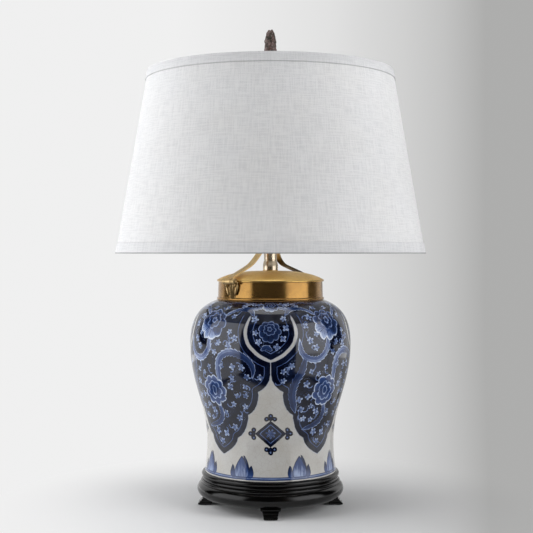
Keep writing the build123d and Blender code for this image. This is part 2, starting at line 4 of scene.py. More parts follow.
import bpy
import numpy as np
from bpy.props import FloatProperty, FloatVectorProperty, IntProperty, PointerProperty
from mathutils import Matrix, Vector


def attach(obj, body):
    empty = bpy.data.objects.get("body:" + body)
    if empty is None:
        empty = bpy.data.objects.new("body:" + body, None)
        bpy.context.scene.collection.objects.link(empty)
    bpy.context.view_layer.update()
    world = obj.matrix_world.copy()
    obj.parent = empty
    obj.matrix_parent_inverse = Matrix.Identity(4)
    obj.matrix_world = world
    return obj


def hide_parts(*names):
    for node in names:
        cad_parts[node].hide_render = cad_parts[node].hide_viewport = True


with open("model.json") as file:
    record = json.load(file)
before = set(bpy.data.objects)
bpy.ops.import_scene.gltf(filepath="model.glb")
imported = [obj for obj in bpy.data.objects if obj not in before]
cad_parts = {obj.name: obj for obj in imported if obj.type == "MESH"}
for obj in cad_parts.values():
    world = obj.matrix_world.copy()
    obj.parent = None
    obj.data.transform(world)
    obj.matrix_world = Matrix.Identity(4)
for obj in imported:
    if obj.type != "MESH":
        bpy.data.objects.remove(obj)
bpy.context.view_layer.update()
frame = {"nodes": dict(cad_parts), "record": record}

bl_info = {
    "name": "Porcelain Jar Lamp",
    "version": (1, 0, 0),
    "blender": (4, 5, 0),
    "location": "3D View > Sidebar > Jar Lamp",
    "description": "Models and finishes a painted porcelain jar lamp over its packed parts",
    "category": "Object",
}

TURN = math.tau
HANDLE_TURN = math.radians(-134.0)

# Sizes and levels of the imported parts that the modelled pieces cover, in millimetres

FOOT_HEIGHT = 15.0
JAR_BOTTOM, JAR_UNDERSIDE, JAR_FLOOR = 52.0, 58.0, 67.0
JAR_WAIST, JAR_BELLY, JAR_LEDGE, JAR_MOUTH = 94.5, 239.5, 304.2, 322.2
JAR_FOOT_RADIUS, JAR_WAIST_RADIUS, JAR_BELLY_RADIUS = 97.3, 93.9, 119.0
JAR_LEDGE_RADIUS, JAR_NECK_RADIUS, JAR_HOLE_RADIUS = 79.2, 71.0, 10.0
JAR_WALL, JAR_FOOT_RING, JAR_FLOOR_RADIUS = 7.0, 12.0, 88.3
COLLAR_RADIUS = 78.0
LUG_BOTTOM, LUG_HEIGHT = 309.0, 22.6
SHADE_BOTTOM, SHADE_TOP = 373.2, 639.6
SHADE_BOTTOM_RADIUS, SHADE_TOP_RADIUS = 227.8, 180.8
COVER_THICKNESS = 0.8
LOWER_TRIM, UPPER_TRIM = (372.6, 388.2, 1.0), (626.6, 640.2, 1.3)  # bottom, top and thickness
FINIAL_BOTTOM, FINIAL_HEIGHT = 645.0, 60.0

# Brushwork on the jar: soft edges, in millimetres and as a share of a flower, and how far inside
# the edges of the panels and diamonds their pale lines run

BRUSH_EDGE, PETAL_EDGE = 0.3, 0.03
PANEL_LINE, DIAMOND_LINE = 8.2, 4.6

# Places that the finishes read, in metres

LID_RIM = 0.3341
CLOTH_RADIUS, CLOTH_SLANT = 0.205, 1.015  # mean radius of the shade, and its slope over its height
# Painted shadow lines along the edges of the shade's trims, where shade falls under each turned edge
PAINTED_EDGE_SHADOWS = ((0.3728, 0.0016, 0.7), (0.6267, 0.0015, 0.4), (0.388, 0.0008, 0.12))  # height, reach, depth


def colour(name, words, value):
    return FloatVectorProperty(
        name=name, description=words, subtype="COLOR", size=3, min=0.0, max=1.0, default=value
    )


def length(name, words, value):
    return FloatProperty(
        name=name, description=words, unit="LENGTH", subtype="DISTANCE", min=0.0, default=value
    )


def brightness(name, words, value):
    return FloatProperty(name=name, description=words, min=0.0, default=value)


def faces(name, words, low, high, value):
    return IntProperty(name=name, description=words, min=low, max=high, default=value)


class JarSettings(bpy.types.PropertyGroup):
    glaze_white: colour("Glaze white", "Bare glaze between the painted panels", (0.404, 0.398, 0.384))
    petal_white: colour("Petal white", "Palest brush strokes of the small flowers", (0.47, 0.51, 0.58))
    cobalt_deep: colour("Deep cobalt", "Ground of the painted panels", (0.0006, 0.0012, 0.0066))
    cobalt_mid: colour("Middle cobalt", "Washed petals and leaves", (0.024, 0.05, 0.15))
    cobalt_pale: colour("Pale cobalt", "Light edges of petals and leaves", (0.22, 0.285, 0.44))
    around: faces("Steps around", "Faces round the jar", 64, 640, 512)
    up: faces("Steps up", "Rows of faces on the painted side", 40, 180, 158)


class StandSettings(bpy.types.PropertyGroup):
    lacquer: colour("Lacquer", "Black lacquer on the wood", (0.0007, 0.00065, 0.00065))
    worn: colour("Worn wood", "Brown wood that shows where the lacquer is rubbed", (0.03, 0.018, 0.012))
    rib_depth: length("Foot rib", "Depth of the carved ribs on the feet", 0.0016)


class BrassSettings(bpy.types.PropertyGroup):
    collar: colour("Collar brass", "Dark polished band of the cap", (0.36, 0.2, 0.055))
    lid: colour("Lid brass", "Paler rubbed top of the cap", (0.99, 0.66, 0.225))
    strap: colour("Strap brass", "Pale flat strap and its lugs", (0.8, 0.58, 0.28))
    tarnish: colour("Tarnish", "Brown film on the brass", (0.17, 0.085, 0.028))
    antique: colour("Antique brass", "Pale worn plating of the neck", (0.84, 0.71, 0.53))
    wire: colour("Harp brass", "Plated harp and socket", (0.62, 0.46, 0.2))
    bronze: colour("Bronze", "Dark patina of the finial", (0.075, 0.06, 0.055))


class ShadeSettings(bpy.types.PropertyGroup):
    linen: colour("Linen", "White linen of the shade", (0.79, 0.79, 0.795))
    lining: colour("Lining", "White sheet behind the linen", (0.86, 0.86, 0.85))
    thread: length("Thread", "Distance between threads of the linen", 0.0011)
    around: faces("Steps around", "Faces round the shade", 48, 512, 240)


class StageSettings(bpy.types.PropertyGroup):
    floor: colour("Floor", "Seamless paper under the lamp", (0.66, 0.66, 0.66))
    backdrop: colour("Backdrop", "Paper behind the lamp on its lighter side", (0.87, 0.87, 0.87))
    # Painted shade: the dark end of the falloff of light painted across the paper
    backdrop_painted_shade: colour("Backdrop shade", "Paper behind the lamp on its darker side", (0.42, 0.42, 0.415))
    key_level: brightness("Left panel", "Brightness of the left light panel", 2.0)
    fill_level: brightness("Right panel", "Brightness of the right light panel", 2.25)
    soft_level: brightness("Soft panels", "Brightness of the soft panels all round", 1.4)
    top_level: brightness("Overhead", "Brightness of the round light overhead", 2.3)
    room_level: brightness("Room", "Brightness of the room all round", 0.05)
    dark_level: brightness("Dark end", "Brightness of the room seen in polish", 0.012)


# Shader building


def sign(operation, swapped=False):
    """A sign of arithmetic as a shader node."""

    def work(wire, other=0.0):
        return wire.wires.math(operation, *((other, wire) if swapped else (wire, other)))

    return work


class Wire:
    """A value between two shader nodes, which adds and multiplies as a number does."""

    __add__ = __radd__ = sign("ADD")
    __mul__ = __rmul__ = sign("MULTIPLY")
    __sub__, __rsub__ = sign("SUBTRACT"), sign("SUBTRACT", swapped=True)
    __truediv__, __pow__, __abs__ = sign("DIVIDE"), sign("POWER"), sign("ABSOLUTE")

    def __init__(self, wires, socket):
        self.wires = wires
        self.socket = socket


class Wiring:
    """Adds shader nodes to one node tree and joins them."""

    def __init__(self, tree):
        self.tree = tree

    def put(self, kind, inputs=None, **settings):
        made = self.tree.nodes.new(kind)
        for key, value in settings.items():
            setattr(made, key, value)
        for key, value in (inputs or {}).items():
            self.feed(made.inputs[key], value)
        return made

    def out(self, kind, inputs=None, pick=0, **settings):
        """One output of a new node."""
        return Wire(self, self.put(kind, inputs, **settings).outputs[pick])

    def outs(self, kind, inputs=None, **settings):
        """Every output of a new node, by name."""
        return {socket.name: Wire(self, socket) for socket in self.put(kind, inputs, **settings).outputs}

    def feed(self, socket, value):
        if isinstance(value, Wire):
            self.tree.links.new(value.socket, socket)
        elif socket.type == "RGBA" and len(value) == 3:
            socket.default_value = (*value, 1.0)
        else:
            socket.default_value = value

    def math(self, operation, a, b=0.0):
        return self.out("ShaderNodeMath", {0: a, 1: b}, operation=operation)

    def most(self, first, *others):
        """The largest of several values."""
        for other in others:
            first = self.math("MAXIMUM", first, other)
        return first

    def vector(self, operation, a, b):
        pick = "Value" if operation in ("LENGTH", "DOT_PRODUCT") else "Vector"
        second = "Scale" if operation == "SCALE" else 1
        return self.out("ShaderNodeVectorMath", {0: a, second: b}, pick, operation=operation)

    def reach(self, across, up):
        """Distance from the middle of a flat map."""
        flat = self.out("ShaderNodeCombineXYZ", {0: across, 1: up})
        return self.vector("LENGTH", flat, (0.0, 0.0, 0.0))

    def parts(self, vector):
        return list(self.outs("ShaderNodeSeparateXYZ", {0: vector}).values())

    def stretched(self, vector, scale):
        return self.out("ShaderNodeMapping", {"Vector": vector, "Scale": scale})

    def rise(self, value, low, high, start=0.0, end=1.0):
        """A smooth step from start to end while the value goes from low to high."""
        return self.out(
            "ShaderNodeMapRange",
            {"Value": value, "From Min": low, "From Max": high, "To Min": start, "To Max": end},
            interpolation_type="SMOOTHSTEP",
        )

    def spread(self, noise, start=0.0, end=1.0):
        """The middle range of a noise, stretched from start to end."""
        return self.rise(noise, 0.3, 0.7, start, end)

    def inside(self, depth, soft):
        """1 inside an outline and 0 outside it, with a soft edge."""
        return self.rise(depth, -soft, soft)

    def line(self, value, middle, outer, inner):
        """1 on a line and 0 away from it, between its inner and outer half width."""
        return self.rise(abs(value - middle), outer, inner)

    def blend(self, factor, a, b):
        return self.out("ShaderNodeMix", {0: factor, 6: a, 7: b}, 2, data_type="RGBA", clamp_factor=True)

    def ramp(self, value, stops):
        made = self.put("ShaderNodeValToRGB", {0: value})
        marks = made.color_ramp.elements
        while len(marks) < len(stops):
            marks.new(0.5)
        for mark, (place, tone) in zip(marks, stops):
            mark.position = place
            mark.color = (*tone, 1.0)
        return Wire(self, made.outputs[0])

    def noise(self, where, scale, detail=3.0, rough=0.55):
        given = {"Vector": where, "Scale": scale, "Detail": detail, "Roughness": rough}
        return self.out("ShaderNodeTexNoise", given)

    def place(self):
        return self.out("ShaderNodeTexCoord", pick="Object")

    def painted(self, name):
        return self.out("ShaderNodeAttribute", pick="Vector", attribute_name=name, attribute_type="GEOMETRY")

    def group(self, name, inputs):
        return self.outs("ShaderNodeGroup", inputs, node_tree=bpy.data.node_groups[name])

    def aged(self, place, cloud, scratch):
        return self.group("age marks", {"Place": place, "Cloud size": cloud, "Scratch": scratch})


class Group(Wiring):
    """A shared effect that puts out varying values only."""

    def __init__(self, name, inputs, outputs):
        super().__init__(bpy.data.node_groups.new(name, "ShaderNodeTree"))
        for label, kind in inputs.items():
            self.tree.interface.new_socket(label, in_out="INPUT", socket_type="NodeSocket" + kind)
        for label in outputs:
            self.tree.interface.new_socket(label, in_out="OUTPUT", socket_type="NodeSocketFloat")
        self.given = self.outs("NodeGroupInput")
        self.results = self.put("NodeGroupOutput").inputs

    def give(self, **values):
        for key, value in values.items():
            self.feed(self.results[key], value)


class Finish(Wiring):
    """A material with a Principled shader whose plain values are set on its own sockets."""

    def __init__(self, name, **constants):
        self.material = bpy.data.materials.new(name)
        self.material.use_nodes = True
        super().__init__(self.material.node_tree)
        self.shader = self.tree.nodes["Principled BSDF"]
        self.surface = Wire(self, self.shader.outputs[0])
        for key, value in constants.items():
            self.feed(self.shader.inputs[key.replace("_", " ")], value)

    def coat(self, tone, rough, height, strength, distance):
        """Feeds colour, roughness and relief to the shader."""
        bump = {"Height": height, "Strength": strength, "Distance": distance}
        self.feed(self.shader.inputs["Base Color"], tone)
        self.feed(self.shader.inputs["Roughness"], rough)
        self.feed(self.shader.inputs["Normal"], self.out("ShaderNodeBump", bump))
        return self.material

    def show(self, surface):
        self.feed(self.tree.nodes["Material Output"].inputs[0], surface)


def over(under, top, mask):
    """One tone laid over another where the mask is 1."""
    return under * (1.0 - mask) + mask * top


def times(tone, *shares):
    """A colour made lighter or darker, by one share or by one for each channel."""
    return [a * b for a, b in zip(tone, shares * 3)]


def age_group():
    """Cloudy change of tone, fine rubbed scratches and small pits, for metal and lacquer."""
    inputs = {"Place": "Vector", "Cloud size": "Float", "Scratch": "Float"}
    wires = Group("age marks", inputs, ("Cloud", "Scratches", "Pits"))
    place = wires.given["Place"]
    cloud = wires.noise(place, wires.given["Cloud size"], 4.0, 0.6)
    fine = wires.noise(wires.stretched(place, (1.0, 1.0, 22.0)), wires.given["Scratch"], 2.0, 0.7)
    pits = wires.noise(place, 900.0, 2.0, 0.5)
    wires.give(
        Cloud=wires.rise(cloud, 0.34, 0.66),
        Scratches=wires.rise(fine, 0.35, 0.7),
        Pits=wires.rise(pits, 0.58, 0.72),
    )


def weave_group():
    """Plain weave with uneven threads, from a flat map in metres."""
    wires = Group("plain weave", {"Cloth": "Vector", "Threads": "Float"}, ("Height", "Slub"))
    cloth, threads = wires.given["Cloth"], wires.given["Threads"]
    along, up, _ = wires.parts(cloth)
    sway = (wires.noise(cloth, 260.0, 2.0, 0.5) - 0.5) * 1.5
    heights, slubs = [], []
    for first, second, stretch in ((along, up, (1.0, 0.06, 1.0)), (up, along, (0.06, 1.0, 1.0))):
        count = first * threads + sway
        ridge = abs(wires.math("SINE", count * math.pi))
        above = wires.math("SINE", (count + second * threads) * math.pi)
        heights.append(ridge * (0.65 + above * 0.35))
        thick = wires.noise(wires.stretched(cloth, stretch), 620.0, 3.0, 0.65)
        slubs.append(wires.rise(thick, 0.36, 0.7))
    slub = slubs[0] * 0.5 + slubs[1] * 0.5
    wires.give(Height=wires.most(*heights) + slub * 0.8, Slub=slub)


def blossom_group():
    """A small flower seen from the front; the map holds its own place and its number of petals."""
    wires = Group("blossom", {"Map": "Vector"}, ("Petals", "Heart", "Dim"))
    across, up, count = wires.parts(wires.given["Map"])
    reach = wires.reach(across, up)
    lobe = abs(wires.math("COSINE", wires.math("ARCTAN2", up, across) * count * 0.5))
    depth = 0.2 + lobe**0.75 * 0.8 - reach
    many = wires.rise(count, 6.4, 6.8, 0.0, 0.2)
    wires.give(
        Petals=wires.rise(depth, -0.06, 0.1),
        Heart=wires.rise(reach, 0.24, 0.12),
        Dim=wires.rise(depth, 0.16, 0.4, 0.0, 0.16) + many,
    )


def ring_of_petals(wires, across, up, radius, scallop, lobes):
    """Depth inside a scalloped ring of petals, and how far each place is from a gap between two petals."""
    wave = abs(wires.math("COSINE", wires.math("ARCTAN2", up, across) * (lobes / 2)))
    return radius + wave**0.6 * scallop - wires.reach(across, up), wave


def washed(wires, depth, wave, base, rim):
    """Tone of a ring of petals: dark towards its middle, thin light rims and dark gaps."""
    wash = base + wires.rise(depth, 0.34, 0.04, 0.0, 0.17) + wires.rise(depth, 0.1, 0.035, 0.0, rim)
    gap = wires.rise(wave, 0.3, 0.06) * wires.rise(depth, 0.03, 0.1)
    return wash - gap * 0.26


def peony_group():
    """A full flower in rings of scalloped petals; the map holds its place and how pale it is painted."""
    wires = Group("peony", {"Map": "Vector", "Place": "Vector"}, ("Inside", "Tone"))
    flower = wires.given["Map"]
    waver = {"Vector": wires.given["Place"], "Scale": 85.0, "Detail": 2.0}
    drift = wires.vector("SUBTRACT", wires.out("ShaderNodeTexNoise", waver, "Color"), (0.5, 0.5, 0.5))
    across, up, _ = wires.parts(wires.vector("ADD", flower, wires.vector("SCALE", drift, 0.36)))
    kind = wires.parts(flower)[2]
    pale = wires.rise(kind, 0.7, 0.9)
    plain = wires.rise(kind, 0.3, 0.45) * (1.0 - pale)
    rich = 1.0 - plain
    depth, wave = ring_of_petals(wires, across, up, 0.8, 0.2, 9.0)
    inside = wires.inside(depth, PETAL_EDGE)
    tone = washed(wires, depth, wave, 0.24 + plain * 0.2, 0.4)
    sweep = wires.rise(across * -0.45 + up * -0.9, 0.08, 0.5) * pale
    streak = wires.math("SINE", wires.math("ARCTAN2", up, across) * 34.0)
    tone = tone + sweep * (0.42 + streak * 0.06)
    crown, eye, ruff = (0.04, 0.2, 0.4, 0.14, 7.0), (0.05, 0.24, 0.13, 0.09, 5.0), (0.0, 0.0, 0.47, 0.15, 7.0)
    for ring, base, rim, share in ((crown, 0.2, 0.4, rich), (eye, 0.24, 0.4, rich), (ruff, 0.4, 0.26, plain)):
        right, high, *shape = ring
        depth, wave = ring_of_petals(wires, across - right, up - high, *shape)
        tone = over(tone, washed(wires, depth, wave, base, rim), wires.inside(depth, PETAL_EDGE) * share)
    bud = 0.32 - wires.reach(across * 1.75, up)
    heart = 0.4 + wires.rise(bud, 0.12, 0.03, 0.0, 0.46)
    wires.give(Inside=inside, Tone=over(tone, heart, wires.inside(bud, PETAL_EDGE) * plain))


def leaf_group():
    """A brushed scroll leaf; the map holds depth inside its edge, place across and place along."""
    wires = Group("scroll leaf", {"Map": "Vector", "Pale": "Float"}, ("Inside", "Tone"))
    depth, across, along = wires.parts(wires.given["Map"])
    comb = wires.math("FRACT", (along - abs(across) * 3.0) * 0.155)
    deep = depth - wires.rise(abs(across), 0.35, 0.95) * comb**1.5 * 2.4
    wash = wires.rise(across, -0.8, 0.8, 0.26, 0.46) + wires.given["Pale"] * 0.24
    brush = wires.math("SINE", across * 11.0) * 0.04
    tone = wash + brush + wires.rise(deep, 1.5, 0.3) * 0.42
    wires.give(Inside=wires.rise(deep, -0.15, 0.25), Tone=wires.math("MINIMUM", tone, 0.93))


def glazed_ground(wires, look, place, white, crack):
    """White glaze with specks and fine cracks, and blue that bleeds past the edge of a panel."""
    tint = wires.spread(wires.noise(place, 28.0, 4.0))
    ground = wires.blend(tint, look.glaze_white, times(look.glaze_white, 0.93, 0.91, 0.87))
    speck = wires.rise(wires.noise(place, 420.0, 2.0), 0.66, 0.76, 0.0, 0.4)
    ground = wires.blend(wires.most(crack * 0.3, speck), ground, (0.28, 0.265, 0.24))
    return wires.blend(wires.rise(abs(white), 1.3, 0.2, 0.0, 0.4), ground, look.cobalt_pale)


def flowering(wires, tone, place):
    """Stems, scroll leaves, small flowers and peonies laid over the ground of the panels."""
    side, end, weight = wires.parts(wires.painted("stems"))
    tone = over(tone, 0.8, wires.rise(abs(side), 1.05, 0.45) * wires.rise(end, 0.0, 1.4) * weight)
    paleness = wires.parts(wires.painted("leaf_tone"))[0]
    leaf = wires.group("scroll leaf", {"Map": wires.painted("leaves"), "Pale": paleness})
    tone = over(tone, leaf["Tone"], leaf["Inside"])
    uneven = wires.spread(wires.noise(place, 230.0, 2.0), 0.68, 0.98)
    for name in ("blossoms_1", "blossoms_2", "blossoms_3"):
        flower = wires.group("blossom", {"Map": wires.painted(name)})
        tone = over(tone, uneven - flower["Dim"], flower["Petals"])
        tone = over(tone, 0.5, flower["Heart"])
    peony = wires.group("peony", {"Map": wires.painted("peonies"), "Place": place})
    return over(tone, peony["Tone"], peony["Inside"])


def painted_porcelain(look):
    """Cobalt painting under a clear crackled glaze, drawn from the jar's own painted maps."""
    wires = Finish("painted porcelain", IOR=1.56)
    place = wires.place()
    wobble = (wires.noise(place, 300.0, 2.0) - 0.5) * 0.9
    white, cut, high = wires.parts(wires.painted("panels"))
    centre, flank, trefoil = wires.parts(wires.painted("lotus"))
    white, cut, trefoil = white + wobble, cut + wobble, trefoil + wobble
    mottle = wires.noise(place, 55.0, 5.0, 0.65)

    border = wires.line(white, -PANEL_LINE, 0.75, 0.2) * wires.rise(high, 243.0, 236.0)
    diamond, hearts = wires.line(cut, DIAMOND_LINE, 0.8, 0.2), wires.rise(trefoil, 1.9, 2.5, 0.0, 1.1)
    border = wires.most(border, diamond, hearts)
    tone = flowering(wires, wires.rise(mottle, 0.3, 0.75, 0.0, 0.08) + border * 0.6, place)
    signs = (wires.inside(each, BRUSH_EDGE) for each in (cut, trefoil))
    panel = wires.most(wires.inside(white, -BRUSH_EDGE), *signs)

    band = wires.line(high, 2.5, 2.4, 1.9)
    lines = wires.most(wires.line(high, 1.1, 1.35, 0.8), wires.line(high, 3.9, 0.8, 0.35))
    petal = wires.inside(flank, BRUSH_EDGE)
    petal_tone = wires.rise(high, 3.0, 18.0, 0.6, 0.26) + wires.rise(flank, 1.2, 0.2, 0.0, -0.1)
    middle = wires.inside(centre, BRUSH_EDGE)
    streak = wires.spread(wires.noise(wires.stretched(place, (1.0, 1.0, 0.12)), 330.0, 2.0), -0.09, 0.08)
    middle_tone = wires.rise(high, 2.0, 32.0, 0.72, 0.46) + streak - wires.rise(centre, 1.9, 0.4, 0.0, 0.26)
    for laid, mask in ((0.76, band), (petal_tone, petal), (middle_tone, middle), (0.46, lines)):
        tone = over(tone, laid, mask)
    deep_wash = [a * 0.6 + b * 0.4 for a, b in zip(look.cobalt_deep, look.cobalt_mid)]
    stops = [(0.0, look.cobalt_deep), (0.34, deep_wash), (0.58, look.cobalt_mid)]
    stops += [(0.82, look.cobalt_pale), (1.0, look.petal_white)]
    paint = wires.ramp(tone + wires.spread(mottle, -0.05, 0.05), stops)

    crackle = wires.out("ShaderNodeTexVoronoi", {"Vector": place, "Scale": 150.0}, feature="DISTANCE_TO_EDGE")
    crack = wires.rise(crackle, 0.05, 0.012)
    ground = glazed_ground(wires, look, place, white, crack)
    surface = wires.blend(wires.most(panel, petal, middle, band, lines), ground, paint)
    ripple = wires.noise(place, 45.0, 2.0) + crack * -0.03
    return wires.coat(surface, wires.spread(mottle, 0.06, 0.1), ripple, strength=0.12, distance=0.0006)


def bare_porcelain():
    wires = Finish("bare porcelain", IOR=1.5)
    place = wires.place()
    tint = wires.noise(place, 60.0, 4.0)
    tone = wires.ramp(tint, [(0.3, (0.5, 0.49, 0.45)), (0.7, (0.62, 0.61, 0.57))])
    rough, fine = wires.spread(tint, 0.45, 0.7), wires.noise(place, 700.0, 2.0)
    return wires.coat(tone, rough, fine, strength=0.2, distance=0.0003)


def lacquered_wood(look):
    wires = Finish("black lacquer", IOR=1.41)
    place = wires.place()
    age = wires.aged(place, 24.0, 160.0)
    grain = wires.noise(wires.stretched(place, (1.0, 1.0, 9.0)), 120.0, 3.0)
    rubbed = age["Pits"] * wires.rise(age["Cloud"], 0.5, 1.0)
    tone = wires.blend(wires.rise(grain, 0.35, 0.65), look.lacquer, times(look.lacquer, 2.0))
    tone = wires.blend(rubbed * 0.6, tone, look.worn)
    rough = wires.rise(age["Cloud"], 0.0, 1.0, 0.1, 0.17)
    return wires.coat(tone, rough, grain + age["Scratches"], strength=0.08, distance=0.0003)


def brass(name, bright, film, rough, amount, scratch=70.0, metal=1.0, rim=None, shaded_end=None):
    """Rubbed brass under a film; below the rim's height it is polished, and towards the shaded end its colour
    is darkened as painted shade.
    """
    wires = Finish(name, Metallic=metal)
    place = wires.place()
    age = wires.aged(place, 30.0, scratch)
    tone = wires.blend(age["Cloud"] * amount + age["Pits"] * 0.5, bright, film)
    base = wires.rise(age["Cloud"], 0.0, 1.0, rough, rough + 0.08)
    if rim:
        polished = wires.rise(wires.parts(place)[2], rim, rim - 0.0005)
        tone = wires.blend(polished * 0.45, tone, film)
        base = over(base, 0.1, polished)
    # Painted shade: the far end, the strap's back arm, is painted dark brown where shade falls on it
    if shaded_end:
        along = wires.vector("DOT_PRODUCT", place, shaded_end)
        painted_shade = wires.rise(along, 0.012, 0.02) * wires.rise(along, 0.074, 0.06)
        tone = wires.blend(painted_shade * 0.93, tone, (0.022, 0.013, 0.008))
    relief = age["Scratches"] + wires.noise(place, 22.0)
    return wires.coat(tone, base + age["Scratches"] * 0.05, relief, strength=0.06, distance=0.0005)


def bronze_patina(look):
    wires = Finish("bronze patina", Metallic=0.35)
    place = wires.place()
    age = wires.aged(place, 170.0, 200.0)
    tone = wires.blend(age["Cloud"], times(look.bronze, 1.7, 1.25, 1.2), times(look.bronze, 0.4, 0.46, 0.35))
    rubbed = wires.rise(wires.noise(place, 420.0, 3.0), 0.52, 0.7, 0.0, 0.75)
    tone = wires.blend(rubbed, tone, (0.3, 0.245, 0.235))
    rough = wires.rise(age["Cloud"], 0.0, 1.0, 0.35, 0.55)
    return wires.coat(tone, rough, wires.noise(place, 500.0, 3.0), strength=0.5, distance=0.0006)


def plain_metal(name, light, dark, rough):
    wires = Finish(name, Metallic=1.0)
    age = wires.aged(wires.place(), 60.0, 150.0)
    dull = wires.rise(age["Scratches"], 0.0, 1.0, rough, rough + 0.12)
    tone = wires.blend(age["Cloud"], light, dark)
    return wires.coat(tone, dull, age["Scratches"], strength=0.1, distance=0.0002)


def moulded(name, light, dark, rough, grain):
    wires = Finish(name, IOR=1.5)
    place = wires.place()
    tone = wires.blend(wires.spread(wires.noise(place, 80.0, 4.0)), light, dark)
    fine = wires.noise(place, grain, 2.0)
    return wires.coat(tone, wires.spread(fine, rough, rough + 0.12), fine, strength=0.2, distance=0.0002)


def let_light_through(wires, tone, share):
    """Mixes in light that comes through the sheet; the far face, met from within, lets all of it on."""
    within = wires.out("ShaderNodeNewGeometry", pick="Backfacing")
    thin = wires.out("ShaderNodeBsdfTranslucent", {"Color": wires.blend(within, tone, (1.0, 1.0, 1.0))})
    passed = within * (1.0 - share) + share
    wires.show(wires.out("ShaderNodeMixShader", {0: passed, 1: wires.surface, 2: thin}))


def linen_cloth(name, look, turned=()):
    """White linen with uneven threads, on the cloth's own flat map in metres; along the turned edges a
    painted shadow line darkens it.
    """
    wires = Finish(name, IOR=1.4, Sheen_Weight=0.12, Sheen_Roughness=0.5)
    cloth = wires.out("ShaderNodeUVMap", uv_map="cloth")
    weave = wires.group("plain weave", {"Cloth": cloth, "Threads": 1.0 / look.thread})
    gaps = wires.rise(weave["Height"], 0.95, 0.25, 0.0, 0.5) + (0.5 - weave["Slub"]) * 0.6
    tone = wires.blend(gaps, look.linen, times(look.linen, 0.76, 0.765, 0.775))
    # Painted shadow: a dark line at each edge's height, in place of the shade under it
    for height, width, depth in turned:
        near = wires.line(wires.parts(wires.place())[2], height, width, width * 0.4)
        tone = wires.blend(near * depth, tone, (0.1, 0.1, 0.1))
    let_light_through(wires, tone, 0.36)
    rough = wires.rise(weave["Slub"], 0.0, 1.0, 0.75, 0.92)
    return wires.coat(tone, rough, weave["Height"], strength=0.45, distance=0.0004)


def lining_sheet(look):
    wires = Finish("shade lining", IOR=1.45)
    place = wires.place()
    cloud = wires.noise(place, 18.0, 4.0)
    tone = wires.blend(wires.spread(cloud), look.lining, times(look.lining, 0.97, 0.95, 0.9))
    let_light_through(wires, tone, 0.5)
    rough, fine = wires.spread(cloud, 0.45, 0.6), wires.noise(place, 900.0, 2.0)
    return wires.coat(tone, rough, fine, strength=0.08, distance=0.0002)


def frosted_glass():
    wires = Finish("frosted glass", IOR=1.5, Transmission_Weight=0.35)
    place = wires.place()
    cloud = wires.noise(place, 90.0, 4.0)
    tone = wires.ramp(cloud, [(0.3, (0.86, 0.86, 0.84)), (0.7, (0.92, 0.92, 0.9))])
    rough, fine = wires.spread(cloud, 0.42, 0.55), wires.noise(place, 1500.0, 2.0)
    return wires.coat(tone, rough, fine, strength=0.1, distance=0.0002)


# Modelling


def settle(name, finish, body, replaced=()):
    """Names the active piece, gives it its finish and sets it on its body."""
    piece = bpy.context.object
    piece.name = name
    piece.data.name = name
    piece.data.materials.clear()
    for each in finish if isinstance(finish, (list, tuple)) else [finish]:
        piece.data.materials.append(each)
    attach(piece, body)
    if replaced:
        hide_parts(*replaced)
    return piece


def dress(node, finish):
    """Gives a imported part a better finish."""
    slots = frame["nodes"][node].data.materials
    for index in range(len(slots)):
        slots[index] = finish


def curved(start, lean_out, lean_in, end, count):
    """Points on a smooth curve from start to end, without the last one."""
    points = []
    for step in range(count):
        t = step / count
        a, b, c, d = (1 - t) ** 3, 3 * (1 - t) ** 2 * t, 3 * (1 - t) * t**2, t**3
        four = zip(start, lean_out, lean_in, end)
        points.append(tuple(a * p + b * q + c * r + d * s for p, q, r, s in four))
    return points


def join_up(threshold):
    """Joins points of the active piece that meet, and turns its faces outwards."""
    bpy.ops.mesh.select_all(action="SELECT")
    bpy.ops.mesh.remove_doubles(threshold=threshold)
    bpy.ops.mesh.normals_make_consistent(inside=False)
    bpy.ops.object.mode_set(mode="OBJECT")


def smooth(angle):
    bpy.ops.object.shade_smooth_by_angle(angle=math.radians(angle))


def turn(points, steps, closed=True):
    """Turns an outline of (radius, height) in millimetres round the lamp's axis."""
    bpy.ops.object.select_all(action="DESELECT")
    bpy.ops.curve.primitive_bezier_curve_add(location=(0, 0, 0))
    line = bpy.context.object.data
    line.splines.clear()
    spline = line.splines.new("POLY")
    spline.points.add(len(points) - 1)
    for spot, (radius, height) in zip(spline.points, points):
        spot.co = (radius / 1000, 0.0, height / 1000, 1.0)
    spline.use_cyclic_u = closed
    bpy.ops.object.convert(target="MESH")
    bpy.ops.object.mode_set(mode="EDIT")
    bpy.ops.mesh.select_all(action="SELECT")
    bpy.ops.mesh.spin(steps=steps, angle=TURN, center=(0, 0, 0), axis=(0, 0, 1))
    join_up(0.00002)
    smooth(35.0)
    return bpy.context.object


def soften(width, segments):
    """Rounds the sharp edges of the active piece."""
    edge = bpy.context.object.modifiers.new("soft edges", "BEVEL")
    edge.width = width
    edge.segments = segments
    edge.limit_method = "ANGLE"
    edge.angle_limit = math.radians(50.0)
    bpy.ops.object.modifier_apply(modifier=edge.name)


def join_pieces(first, others):
    bpy.ops.object.select_all(action="DESELECT")
    for piece in (first, *others):
        piece.select_set(True)
    bpy.context.view_layer.objects.active = first
    bpy.ops.object.join()


def apply_place():
    bpy.ops.object.transform_apply(location=True, rotation=True, scale=True)


def turn_about_axis(angle):
    """Turns the active piece round the lamp's axis."""
    bpy.ops.transform.rotate(value=angle, orient_axis="Z", center_override=(0, 0, 0))
    apply_place()


def places_of(mesh):
    spots = np.empty(len(mesh.vertices) * 3)
    mesh.vertices.foreach_get("co", spots)
    return spots.reshape(-1, 3)


